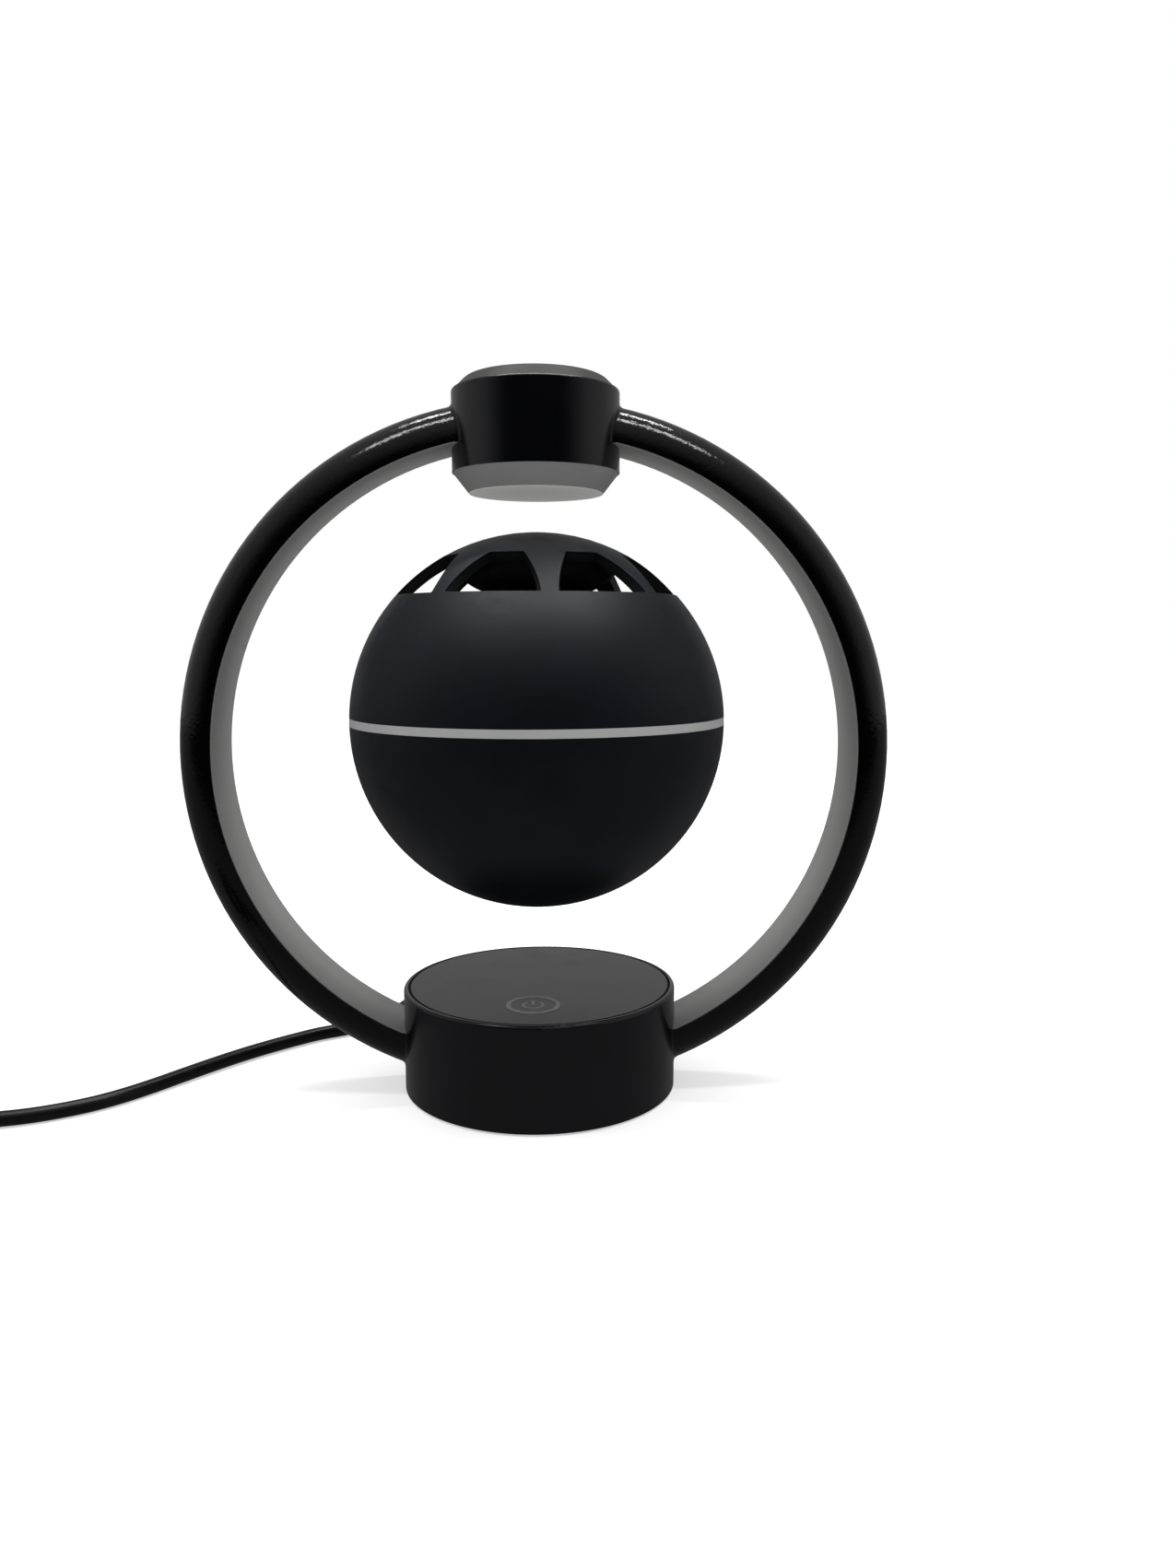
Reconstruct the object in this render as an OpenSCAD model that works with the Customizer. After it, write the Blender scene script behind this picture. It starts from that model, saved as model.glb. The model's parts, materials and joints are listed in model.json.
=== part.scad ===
// Levitating speaker lamp: a drum base, a lit ring, an electromagnet head and a floating speaker ball.
// Millimetres. Z is up from the table, X to the right, and the front is toward -Y.

/* [Base] */
// Radius of the drum
base_r = 37.4; // [36:0.1:41]
// Height of the drum without its feet
base_h = 27.9; // [27:0.1:33]
// Wall of the drum
base_wall = 2.4; // [1.8:0.1:3]
// Rounding of the drum's top edge
base_edge = 0.8; // [0.3:0.1:1]
// Width of the rim around the touch plate
rim_w = 1.2; // [1.1:0.1:2]
// Thickness of the touch plate
plate_t = 2; // [1.5:0.1:2.5]
// Thickness of the deck under the touch plate
deck_t = 2; // [1.5:0.1:2.5]
// Groove around the touch plate
plate_gap = 0.25; // [0.1:0.05:0.4]
// Distance of the touch key from the front of the drum
touch_inset = 17.1; // [14.4:0.1:17.9]
// Radius of the touch sensor board
touch_r = 8; // [6:0.1:8.5]
// Thickness of the bottom cover
cover_t = 2; // [1.6:0.1:2.4]
// How far the feet stand proud of the drum
foot_proud = 0.6; // [0.4:0.1:1]
// Radius of a foot pad
foot_r = 5; // [4:0.1:6]
// Gap round the counterweight
weight_gap = 2.3; // [1:0.1:4]

/* [Ring] */
// Radius of the ring's flat inner face
arm_r = 82; // [79:0.1:87]
// Radius of the half-round section
arm_d = 10.7; // [10:0.1:11.2]
// Each half's centre beside the middle of the lamp
arm_shift = 2.7; // [1:0.1:3.4]
// Wall of the channel
arm_wall = 2; // [1.4:0.1:2.4]
// Height at which the ring's outer edge enters the drum
arm_entry = 6; // [5.8:0.1:7]
// Thickness of the light strip's cover
diffuser_t = 1.2; // [0.8:0.1:1.6]
// LEDs in each half of the ring
led_count = 12; // [6:1:16]

/* [Head] */
// Radius of the head's band
band_r = 22; // [21.5:0.1:24]
// Height of the band
band_h = 21; // [20.6:0.1:22]
// Wall of the band
band_wall = 2; // [1.4:0.1:2.4]
// Band's top edge above the ring's highest point
band_over = 2.1; // [1.4:0.1:2.6]
// Height of the lower cover's cone
cone_h = 5.2; // [5:0.1:7]
// Radius of the lower cover's flat disc
cone_r = 17.65; // [17.6:0.05:19]
// Height of the top cap
cap_h = 3.2; // [2.5:0.1:4]
// Radius of the top cap's upper edge, before it is rounded
cap_r = 18; // [15:0.1:18.4]
// Wall of the cap and the cover
head_wall = 1.6; // [1.2:0.1:2]

/* [Ball] */
// Radius of the ball
ball_r = 50; // [48:0.1:52]
// Wall of the ball's shells
ball_wall = 3.5; // [3:0.1:4]
// Gap between the ball and the head
float_gap = 10; // [6:0.1:14]
// Width of the light stripe
stripe_h = 2.1; // [1.6:0.1:3]
// Stripe's lower edge under the equator
stripe_drop = 0.4; // [0:0.1:1]
// Lower edge of the crown's windows under the ball's top
window_low = 16.6; // [15:0.1:17.5]
// Upper edge of the windows under the ball's top
window_high = 6.5; // [6:0.1:9]
// Ribs in the crown
rib_count = 8; // [6:1:10]
// Width of a rib at the windows' lower edge
rib_low_w = 4.3; // [3:0.1:6]
// Width of a rib at the windows' upper edge
rib_high_w = 10.4; // [8:0.1:12]
// Turn of the crown away from the front
rib_turn = 4.9; // [0:0.1:22]
// Travel of the power button
button_travel = 0.6; // [0.4:0.1:0.6]
// Radius of the power button
button_r = 3.2; // [2.6:0.1:3.4]

/* [Driver] */
// Radius of the driver's flange
driver_r = 27; // [26:0.1:29]
// Radius of the cone's roll
roll_r = 1.9; // [1.4:0.1:2]
// Radius of the driver's magnet
driver_magnet_r = 15; // [12:0.1:17]
// Radius of the levitation magnet
float_magnet_r = 12.5; // [11:0.1:12.8]
// Thickness of the levitation magnet
float_magnet_t = 8; // [6:0.1:8.5]

/* [Lead] */
// Diameter of the lead
cord_d = 4; // [3.4:0.1:4]
// Turns in each layer of the coil
coil_turns = 3; // [2:1:3]

/* [Hidden] */
$fn = 96;

// Clearances: pieces that drop into one another, screws in their holes, arms in a wall, glued seams, the button
slip = 0.2;
shank_fit = 0.05;
arm_fit = 0.1;
seam = 0.05;
run_gap = 0.3;
// How far a cutter reaches past a face, and how deep a fused detail is rooted
past = 1;
root = 0.5;

// Colours
satin_black = "#16181d";
gloss_black = "#0c0c0e";
matte_black = "#1d1f24";
frost_grey = "#6a6968";
pale_lens = "#b3aeb4";
board_green = "#1f4a33";
steel = "#a9abad";
dark_part = "#26262a";

// Heights of the base
base_top = foot_proud + base_h;
deck_low = base_top - plate_t - deck_t;
cover_inset = 0.4;
cover_low = foot_proud + cover_inset;
cover_top = cover_low + cover_t;
base_in_r = base_r - base_wall;

// Screws and bosses of the base
base_screw_turn = 50;
base_boss_r = 3.2;
boss_inset = 2.3;
base_screw_at = base_in_r - base_boss_r - boss_inset;
base_screw_r = 1.4;
base_screw_head = 2.9;
base_screw_l = 8;
foot_inset = 3;
foot_at = base_in_r - foot_r - foot_inset;
foot_sink = 0.6;

// Control board under the deck, and the socket on its underside
post_h = 3;
post_r = 2.2;
board_t = 1.6;
board_gap = 0.8;
board_w = 2 * (base_screw_at * cos(base_screw_turn) - base_boss_r - board_gap);
touch_clear = 2.1;
touch_y = base_r - touch_inset;
board_front = touch_r + slip + touch_clear - touch_y;
board_inset = 9;
board_back = base_in_r - board_inset;
board_top = deck_low - post_h;
board_low = board_top - board_t;
post_side = 3;
post_front = 4;
post_back = 6;
post_x = board_w / 2 - post_side;
post_y = [board_front + post_front, board_back - post_back];
chip_w = 8;
chip_h = 1.4;
can_r = 3.2;
can_h = 8;
choke_r = 4;
choke_h = 5;
part_gap = 1.6;
jack_w = 9;
jack_h = 11;
jack_l = 14;
jack_nose_r = 4.4;
jack_bore_r = 2.9;
jack_bore_l = 9.5;
jack_pin_r = 1;
jack_pin_set = 1;
jack_recess = 1;
jack_set = 0.6;
dc_z = board_low - jack_h / 2;
jack_face = base_r - jack_recess;
jack_back = base_in_r - jack_set;

// Counterweight, inside the bosses and under the socket
weight_clear = 0.9;
weight_r = base_screw_at - base_boss_r - weight_gap;
weight_t = board_low - jack_h - weight_clear - cover_top;
weight_edge = 0.5;

// The ring: where its halves stand and end
arm_out = arm_r + arm_d;
ring_z = foot_proud + arm_entry + sqrt(arm_out ^ 2 - (base_r - arm_shift) ^ 2);
arm_grip_head = 5.2;
arm_grip_base = 6.9;
arm_mid = arm_r + arm_d / 2;
arm_high_angle = acos((band_r - arm_grip_head - arm_shift) / arm_mid);
arm_low_angle = -acos((base_r - arm_grip_base - arm_shift) / arm_mid);
led_floor = 5.5;
strip_w = 8;
strip_t = 0.6;
led_w = 5;
led_h = 1.6;
tongue_w = 1;
tongue_h = 1.4;
tongue_set = 1.3;
// The channel's lips beside the light strip's cover, and how far the cover stands proud of them
lip_w = 0.5;
lip_set = 0.25;
diffuser_half = arm_d - lip_w - seam;

// Heights of the head, and what stands inside it
band_top = ring_z + arm_out + band_over;
band_low = band_top - band_h;
head_low = band_low - cone_h;
band_in_r = band_r - band_wall;
band_edge = 0.8;
cover_step = 0.25;
cover_spigot_h = 3;
cap_spigot_h = 1.2;
cap_edge = 4;
head_screw_r = 1.2;
head_screw_head = 2.2;
head_screw_head_h = 1.5;
head_screw_short = 1;
spool_gap = 0.8;
spool_post_r = 2.3;
spool_lift = 1.7;
spool_low = band_low + spool_lift;
flange_t = 1.6;
spool_r = band_in_r - slip - head_wall - spool_gap;
screw_inset = 2.5;
spool_screw_at = spool_r - screw_inset;
winding_gap = 0.7;
winding_r = spool_screw_at - head_screw_head - winding_gap;
spool_lip = 0.6;
spool_top_r = winding_r + spool_lip;
spool_under = 2.5;
spool_top = band_top - spool_under;
core_r = 5;
core_wall = 1.2;
spool_tube_r = core_r + core_wall;
core_head_r = 7;
core_head_h = 1.8;
core_lift = 3.4;
core_low = head_low + head_wall + core_lift;
hall_r = 8;
hall_t = 1.2;
hall_chip = [4, 3, 1.4];

// The ball, measured from its own centre
ball_z = head_low - float_gap - ball_r;
ball_in_r = ball_r - ball_wall;
stripe_low = -stripe_drop;
stripe_top = stripe_low + stripe_h;
window_sill = ball_r - window_low;
window_head = ball_r - window_high;
window_slope = window_head / sqrt(ball_r ^ 2 - window_head ^ 2);
window_reach = 5;
// A rib's outline: shares of the window's height, and the power by which the rib widens
rib_shares = [0, 0.3, 0.65, 1];
rib_power = 1.7;
rib_root = 3;
spigot_play = 0.5;
spigot_wall = 2.5;
spigot_reach = 2.6;
spigot_r = ball_in_r - spigot_play;
spigot_in_r = spigot_r - spigot_wall;
spigot_low = stripe_low - spigot_reach;
spigot_high = stripe_top + spigot_reach;
ledge_top = spigot_low - slip;
ledge_t = 2.2;
ledge_w = 5.5;
led_ring_t = 1.2;
led_ring_w = 5.2;
led_ring_r = spigot_in_r - run_gap;
led_side = 2.6;
led_tall = 1.4;
led_back = 0.4;

// Levitation magnet under the crown's hub
magnet_boss_wall = 2.5;
magnet_boss_r = float_magnet_r + magnet_boss_wall;
magnet_clear = 1.1;
magnet_edge = 0.5;
magnet_high = sqrt(ball_in_r ^ 2 - float_magnet_r ^ 2) - magnet_clear;
magnet_low = magnet_high - float_magnet_t;
magnet_cap_t = 2;
magnet_spigot_h = 1.6;
boss_low = magnet_low - magnet_spigot_h;
// Flank that spreads the sound from the magnet's boss to the windows' upper edge
spreader_lip = 1.2;
spreader_set = 0.6;
spreader_r = window_head / window_slope * ball_in_r / ball_r - spreader_set;
spreader_z = sqrt(ball_in_r ^ 2 - spreader_r ^ 2);

// Speaker: the baffle stops against the narrowing shell, and the driver hangs in it
baffle_t = 2.5;
baffle_low = 21;
baffle_top = baffle_low + baffle_t;
baffle_play = 0.1;
baffle_r = sqrt(ball_in_r ^ 2 - baffle_top ^ 2) - baffle_play;
flange_h = 1.2;
flange_w = 4.7;
basket_r = driver_r - flange_w;
basket_wall = 1.2;
basket_low = 9;
basket_low_r = 14;
baffle_hole_r = basket_r + run_gap;
basket_slot_w = 16;
basket_slot_lift = 3;
basket_slot_h = 8;
ball_screw_head = 2.1;
driver_screw_at = driver_r - ball_screw_head;
flange_top = baffle_top + flange_h;
roll_inset = 2.9;
roll_at = basket_r - roll_inset;
glue_gap = 0.4;
paper_t = 0.5;
yoke_h = 1.4;
yoke_step = 1;
ferrite_h = 8;
cone_t = 0.7;
cone_neck_r = 6;
cone_neck_z = 15;
dust_dome_r = 8;
ball_screw_r = 1.2;
ball_screw_head_h = 1.3;
ball_screw_l = 5;

// Ball's board, battery, charge socket and button, on the rear half
ball_board_r = 30;
ball_board_top = -12.4;
ball_board_low = ball_board_top - board_t;
ball_post_r = 3;
ball_post_at = 26;
cell_size = [36, 26, 9];
cell_corner = 3;
radio_size = [12, 15, 2];
tab_w = 25;
tab_root = 5;
port_x = -6;
button_x = 7;
port_size = [9, 7.5, 3.3];
port_floor = 1.2;
port_z = ball_board_top + port_size[2] / 2;
port_set = 0.8;
port_face = sqrt(ball_in_r ^ 2 - port_x ^ 2 - port_z ^ 2) - port_set;
port_recess_d = 4;
port_recess_w = 3;
port_recess_y = ball_r - port_recess_d;
button_proud = 0.6;
button_lip = 1.2;
button_flange_r = button_r + button_lip;
button_flange_t = 1.1;
button_spot = 0.1;
button_seat_y = sqrt(ball_in_r ^ 2 - button_x ^ 2 - port_z ^ 2) - button_spot;
button_front_y = button_seat_y - run_gap;
button_nub_l = 0.4;
button_nub_r = 1.5;
switch_tip_y = button_front_y - button_flange_t - button_nub_l - button_travel - run_gap;
switch_size = [6, 4.2, 3.4];
switch_pin_r = 1.2;
switch_pin_l = 0.8;
tab_set = 0.9;
tab_back = switch_tip_y - tab_set;

// The lead: plug at the drum, the stretch that lies free, and the coil
plug_r = 5.2;
plug_l = 12;
plug_start = base_r + run_gap;
plug_edge = 1;
plug_sleeve_r = 2.75;
plug_sleeve_in_r = 1.2;
plug_sleeve_l = 9;
relief_r = 3.6;
relief_tip_r = 2.3;
cord_sides = 8;
// Points of the free stretch, chosen by hand for the sizes as drawn
cord_points = [
    [0, 60, 14.4], [0, 65, 14.4], [-0.6, 73, 13.7], [-3.5, 81, 12.2], [-10, 87.5, 10.2], [-19, 90, 7.9],
    [-28, 88, 5.7], [-35, 82.8, 4], [-39.2, 76, 2.8], [-42, 69, 2.2], [-44.4, 62.4, 2.05], [-46.9, 55.8, 2.05],
    [-50, 49.4, 2.05], [-54.8, 43.4, 2.05], [-61.3, 38.9, 2.05], [-68.6, 34.9, 2.05], [-75.5, 29.4, 2.05],
    [-82, 23.5, 2.05], [-88, 17.4, 2.05], [-94, 10.4, 2.05], [-99.8, 3.1, 2.05], [-105.4, -4.1, 2.05],
    [-111, -10.5, 2.05], [-117.2, -16, 2.05], [-124.2, -20.3, 2.05], [-131.8, -23.5, 2.05], [-140, -25.6, 2.15],
    [-148.5, -26.7, 2.45], [-156.5, -27.1, 2.65], [-164.3, -27.1, 2.65]
];
plug_tip = cord_points[0][1];
// The first points follow the plug's height, fading out over ten of them
cord_lift = dc_z - cord_points[0][2];
cord_route = [
    for (i = [0:len(cord_points) - 1])
        cord_points[i] + [0, 0, cord_lift * (i < 2 ? 1 : max(0, 1 - (i - 1) / 9))]
];
cord_end = cord_points[len(cord_points) - 1];
coil_pitch = cord_d + 0.5;
coil_rings = 24;
coil_sides = 6;
coil_high_r = 29;
coil_low_r = coil_high_r - coil_pitch * (coil_turns + 0.25);
coil_x = cord_end[0] - cord_d;
coil_y = cord_end[1] - coil_high_r;
coil_all_turns = 2 * coil_turns + 0.5;
coil_z = cord_end[2];
coil_z2 = coil_z + coil_pitch;
tie_w = 8;
tie_t = 0.6;
usb_half_h = 4.4;
usb_z = usb_half_h + seam;
tail_drop_l = 13;
tail_l = tail_drop_l + cord_d;
usb_relief_l = 6;
usb_body = [18, 15.5];
usb_shell = [12, 12, 4.5];
usb_shell_t = 0.4;
usb_corner = 2.2;

// Places repeated round the axis
module around(at, angles) {
    for (a = angles)
        rotate([0, 0, a])
            translate([at, 0, 0])
                children();
}

// Moves its children to the ball's centre
module in_ball() {
    translate([0, 0, ball_z])
        children();
}

// Points its children along +Y, from the lamp's axis
module to_back(x, z) {
    translate([x, 0, z])
        rotate([-90, 0, 0])
            children();
}

// A disc whose upper edge is rounded
module round_top_disc(r, h, edge) {
    rotate_extrude() {
        square([r - edge, h]);
        square([r, h - edge]);
        translate([r - edge, h - edge])
            intersection() {
                circle(edge);
                square(edge);
            }
    }
}

// A flat section with round ends, along X
module stadium(w, h) {
    square([w - h, h], center = true);
    for (s = [-1, 1])
        translate([s * (w - h) / 2, 0])
            circle(h / 2);
}

// A rectangle with round corners
module round_rect(w, h, r) {
    square([w - 2 * r, h], center = true);
    square([w, h - 2 * r], center = true);
    for (sx = [-1, 1], sy = [-1, 1])
        translate([sx * (w / 2 - r), sy * (h / 2 - r)])
            circle(r);
}

// A screw with a sunk head at z = 0 and its shank upward
module sunk_screw(shank, head, length) {
    difference() {
        union() {
            cylinder(r1 = head, r2 = shank, h = head - shank);
            cylinder(r = shank, h = length);
        }
        cross_slot(head);
    }
}

// A screw with a flat round head upward from z = 0 and its shank downward
module pan_screw(shank, head, head_h, length) {
    difference() {
        union() {
            cylinder(r = head, h = head_h);
            translate([0, 0, -length])
                cylinder(r = shank, h = length + head_h / 2);
        }
        translate([0, 0, head_h])
            mirror([0, 0, 1])
                cross_slot(head);
    }
}

// Cross slot cut into a screw's head, from z = 0 upward
module cross_slot(head) {
    for (turn = [0, 90])
        rotate([0, 0, turn])
            translate([-head * 0.6, -head * 0.12, -past])
                cube([head * 1.2, head * 0.24, past + head * 0.3]);
}

// The part of a disc of that radius between two distances from its middle
module disc_slice(r, from, to) {
    intersection() {
        circle(r);
        translate([from, -r])
            square([to - from, 2 * r]);
    }
}

// Carries a section round the right half of the ring; the section's X is the distance from the half's centre
module along_arm() {
    translate([arm_shift, 0, ring_z])
        rotate([90, 0, 0])
            rotate([0, 0, arm_low_angle])
                rotate_extrude(angle = arm_high_angle - arm_low_angle)
                    translate([arm_r, 0])
                        children();
}

// The space of both halves of the ring with a clearance, for the walls that they pass
module arm_sockets() {
    for (side = [0, 1])
        mirror([side, 0, 0])
            along_arm()
                disc_slice(arm_d + arm_fit, -arm_fit, arm_d + arm_fit);
}

module base_bosses() {
    angles = [for (q = [0, 180]) for (s = [-1, 1]) q + s * base_screw_turn];
    around(base_screw_at, angles)
        children();
}

module base_shell() {
    color(satin_black)
        difference() {
            union() {
                difference() {
                    translate([0, 0, foot_proud])
                        round_top_disc(base_r, base_h, base_edge);
                    translate([0, 0, foot_proud - past])
                        cylinder(r = base_in_r, h = deck_low - foot_proud + past);
                }
                base_bosses()
                    translate([0, 0, cover_top])
                        cylinder(r = base_boss_r, h = deck_low - cover_top + root);
                for (x = [-post_x, post_x], y = post_y)
                    translate([x, y, board_top])
                        cylinder(r = post_r, h = post_h + root);
            }
            translate([0, 0, base_top - plate_t])
                cylinder(r = base_r - rim_w, h = plate_t + past);
            translate([0, -touch_y, deck_low - past])
                cylinder(r = touch_r + slip, h = deck_t + 2 * past);
            base_bosses()
                translate([0, 0, cover_top - past])
                    cylinder(r = base_screw_r + shank_fit, h = base_screw_l + past);
            arm_sockets();
            to_back(0, dc_z)
                cylinder(r = jack_nose_r + slip, h = base_r + past);
        }
}

module base_top_plate() {
    color("#23231f")
        translate([0, 0, base_top - plate_t])
            round_top_disc(base_r - rim_w - plate_gap, plate_t, 0.2);
}

module touch_sensor_board() {
    pad_t = 1;
    plug_block = [5, 4, 2];
    color(board_green)
        translate([0, -touch_y, base_top - plate_t - pad_t]) {
            cylinder(r = touch_r, h = pad_t);
            translate([-plug_block[0] / 2, 0, -plug_block[2]])
                cube(plug_block + [0, 0, root]);
        }
}

module base_bottom_cover() {
    color(dark_part)
        difference() {
            translate([0, 0, cover_low])
                cylinder(r = base_in_r - slip, h = cover_t);
            base_bosses()
                translate([0, 0, cover_low]) {
                    sunk_depth = base_screw_head - base_screw_r;
                    cylinder(r1 = base_screw_head + slip, r2 = base_screw_r + slip, h = sunk_depth);
                    translate([0, 0, -past])
                        cylinder(r = base_screw_r + slip, h = cover_t + 2 * past);
                }
            around(foot_at, [0, 90, 180, 270])
                translate([0, 0, cover_low - past])
                    cylinder(r = foot_r + slip, h = foot_sink + past);
        }
}

module base_foot_pads() {
    foot_t = cover_low + foot_sink;
    color("#101012")
        around(foot_at, [0, 90, 180, 270])
            translate([0, 0, foot_t])
                mirror([0, 0, 1])
                    round_top_disc(foot_r, foot_t, 0.3);
}

module base_screws() {
    color(steel)
        base_bosses()
            translate([0, 0, cover_low + slip / 2])
                sunk_screw(base_screw_r, base_screw_head, base_screw_l);
}

module base_weight() {
    color(steel)
        translate([0, 0, cover_top])
            round_top_disc(weight_r, weight_t, weight_edge);
}

module base_circuit_board() {
    color(board_green) {
        edge = board_w / 2 - part_gap;
        front = board_front + part_gap;
        translate([-board_w / 2, board_front, board_low])
            cube([board_w, board_back - board_front, board_t]);
        // coil driver, storage capacitors and choke, hanging from the board
        translate([-edge, front, board_low - chip_h])
            cube([chip_w, chip_w, chip_h + root]);
        for (i = [0, 1])
            translate([edge - can_r - i * (2 * can_r + part_gap), front + can_r, board_low - can_h])
                cylinder(r = can_r, h = can_h + root);
        translate([choke_r - edge, front + chip_w + part_gap + choke_r, board_low - choke_h])
            cylinder(r = choke_r, h = choke_h + root);
    }
}

module dc_socket() {
    color(dark_part)
        difference() {
            union() {
                translate([-jack_w / 2, jack_back - jack_l, dc_z - jack_h / 2])
                    cube([jack_w, jack_l, jack_h]);
                to_back(0, dc_z)
                    translate([0, 0, jack_back - root])
                        cylinder(r = jack_nose_r, h = jack_face - jack_back + root);
            }
            to_back(0, dc_z)
                translate([0, 0, jack_face - jack_bore_l])
                    difference() {
                        cylinder(r = jack_bore_r, h = jack_bore_l + past);
                        translate([0, 0, -root])
                            cylinder(r = jack_pin_r, h = jack_bore_l + root - jack_pin_set);
                    }
        }
}

module arm_channel() {
    color(gloss_black)
        along_arm()
            difference() {
                disc_slice(arm_d, lip_set, arm_d);
                translate([0, lip_w - arm_d])
                    square([diffuser_t + seam, 2 * (arm_d - lip_w)]);
                disc_slice(arm_d - arm_wall, 0, led_floor);
            }
}

module arm_channel_right() {
    arm_channel();
}

module arm_channel_left() {
    mirror([1, 0, 0])
        arm_channel();
}

module arm_diffuser() {
    color(frost_grey)
        along_arm() {
            polygon([[lip_set, -diffuser_half], [0, lip_set - diffuser_half], [0, diffuser_half - lip_set],
                [lip_set, diffuser_half], [diffuser_t, diffuser_half], [diffuser_t, -diffuser_half]]);
            for (s = [-1, 1])
                translate([diffuser_t - root, s * (arm_d - arm_wall - tongue_set) - tongue_w / 2])
                    square([tongue_h + root, tongue_w]);
        }
}

module arm_diffuser_right() {
    arm_diffuser();
}

module arm_diffuser_left() {
    mirror([1, 0, 0])
        arm_diffuser();
}

module arm_led_strip() {
    strip_x = led_floor - seam - strip_t;
    step = (arm_high_angle - arm_low_angle) / led_count;
    color("#d8d4c4") {
        along_arm()
            translate([strip_x, -strip_w / 2])
                square([strip_t, strip_w]);
        for (i = [0:led_count - 1])
            translate([arm_shift, 0, ring_z])
                rotate([0, -(arm_low_angle + step * (i + 0.5)), 0])
                    translate([arm_r + strip_x - led_h, -led_w / 2, -led_w / 2])
                        cube([led_h + strip_t / 2, led_w, led_w]);
    }
}

module arm_led_strip_right() {
    arm_led_strip();
}

module arm_led_strip_left() {
    mirror([1, 0, 0])
        arm_led_strip();
}

module head_band() {
    color(satin_black)
        difference() {
            translate([0, 0, band_low])
                round_top_disc(band_r, band_h, band_edge);
            translate([0, 0, band_low - past])
                cylinder(r = band_in_r, h = band_h + 2 * past);
            arm_sockets();
        }
}

module head_top_cap() {
    foot_r = band_r - band_edge;
    slope = atan2(cap_h, foot_r - cap_r);
    middle = [cap_r - cap_edge * tan(slope / 2), cap_h - cap_edge];
    steps = 8;
    bend = [for (i = [0:steps]) let (a = 90 - slope * (1 - i / steps)) middle + cap_edge * [cos(a), sin(a)]];
    color(frost_grey)
        translate([0, 0, band_top])
            rotate_extrude() {
                difference() {
                    polygon(concat([[0, 0], [foot_r, 0]], bend, [[0, cap_h]]));
                    polygon([[0, -past], [band_in_r - head_wall, -past], [band_in_r - head_wall, 0],
                        [cap_r - head_wall, cap_h - head_wall], [0, cap_h - head_wall]]);
                }
                translate([band_in_r - slip - head_wall, -cap_spigot_h])
                    square([head_wall, cap_spigot_h + root]);
            }
}

module spool_places() {
    around(spool_screw_at, [90, 210, 330])
        children();
}

module head_lower_cover() {
    floor_top = head_low + head_wall;
    rim_r = band_r - cover_step;
    in_r = band_in_r - slip - head_wall;
    color(frost_grey)
        difference() {
            union() {
                rotate_extrude() {
                    difference() {
                        polygon([[0, head_low], [cone_r, head_low], [rim_r, band_low], [0, band_low]]);
                        polygon([[0, floor_top], [cone_r - head_wall / 2, floor_top], [in_r, band_low],
                            [in_r, band_low + past], [0, band_low + past]]);
                    }
                    translate([in_r, band_low - root])
                        square([head_wall, cover_spigot_h + root]);
                }
                spool_places()
                    translate([0, 0, floor_top - root])
                        cylinder(r = spool_post_r, h = spool_low - floor_top + root);
            }
            spool_places()
                translate([0, 0, floor_top + root])
                    cylinder(r = head_screw_r + shank_fit, h = spool_low - floor_top);
        }
}

module electromagnet_core() {
    color(steel) {
        translate([0, 0, core_low])
            cylinder(r = core_r, h = spool_top - core_low + root);
        translate([0, 0, spool_top])
            cylinder(r = core_head_r, h = core_head_h);
    }
}

module electromagnet_bobbin() {
    color("#2b2b2f")
        difference() {
            union() {
                translate([0, 0, spool_low])
                    cylinder(r = spool_r, h = flange_t);
                translate([0, 0, spool_low])
                    cylinder(r = spool_tube_r, h = spool_top - spool_low);
                translate([0, 0, spool_top - flange_t])
                    cylinder(r = spool_top_r, h = flange_t);
            }
            translate([0, 0, spool_low - past])
                cylinder(r = core_r + shank_fit, h = spool_top - spool_low + 2 * past);
            spool_places()
                translate([0, 0, spool_low - past])
                    cylinder(r = head_screw_r + slip, h = flange_t + 2 * past);
        }
}

module electromagnet_coil() {
    winding_h = spool_top - spool_low - 2 * flange_t - 2 * seam;
    color("#a8622c")
        translate([0, 0, spool_low + flange_t + seam])
            difference() {
                cylinder(r = winding_r, h = winding_h);
                translate([0, 0, -past])
                    cylinder(r = spool_tube_r + seam, h = winding_h + 2 * past);
            }
}

module hall_sensor_board() {
    color(board_green)
        translate([0, 0, head_low + head_wall]) {
            cylinder(r = hall_r, h = hall_t);
            translate([-hall_chip[0] / 2, -hall_chip[1] / 2, hall_t - root])
                cube(hall_chip + [0, 0, root]);
        }
}

module head_screws() {
    shank_l = spool_low + flange_t - head_low - head_wall - head_screw_short;
    color(steel)
        spool_places()
            translate([0, 0, spool_low + flange_t])
                pan_screw(head_screw_r, head_screw_head, head_screw_head_h, shank_l);
}

// Half the width of a rib at a share of the window's height
function rib_half(share) = (rib_low_w + (rib_high_w - rib_low_w) * share ^ rib_power) / 2;

// The eight ribs of the crown as upright wedges, wider at the top, parallel to their own radius
module crown_ribs() {
    edge = concat(
        [[rib_half(0), window_sill - rib_root]],
        [for (t = rib_shares) [rib_half(t), window_sill + (window_head - window_sill) * t]],
        [[rib_half(1), ball_r]]);
    last = len(edge) - 1;
    for (i = [0:rib_count - 1])
        rotate([0, 0, -90 + rib_turn + i * 360 / rib_count])
            rotate([90, 0, 90])
                linear_extrude(ball_r + past)
                    polygon(concat(edge, [for (k = [0:last]) [-edge[last - k][0], edge[last - k][1]]]));
}

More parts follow.
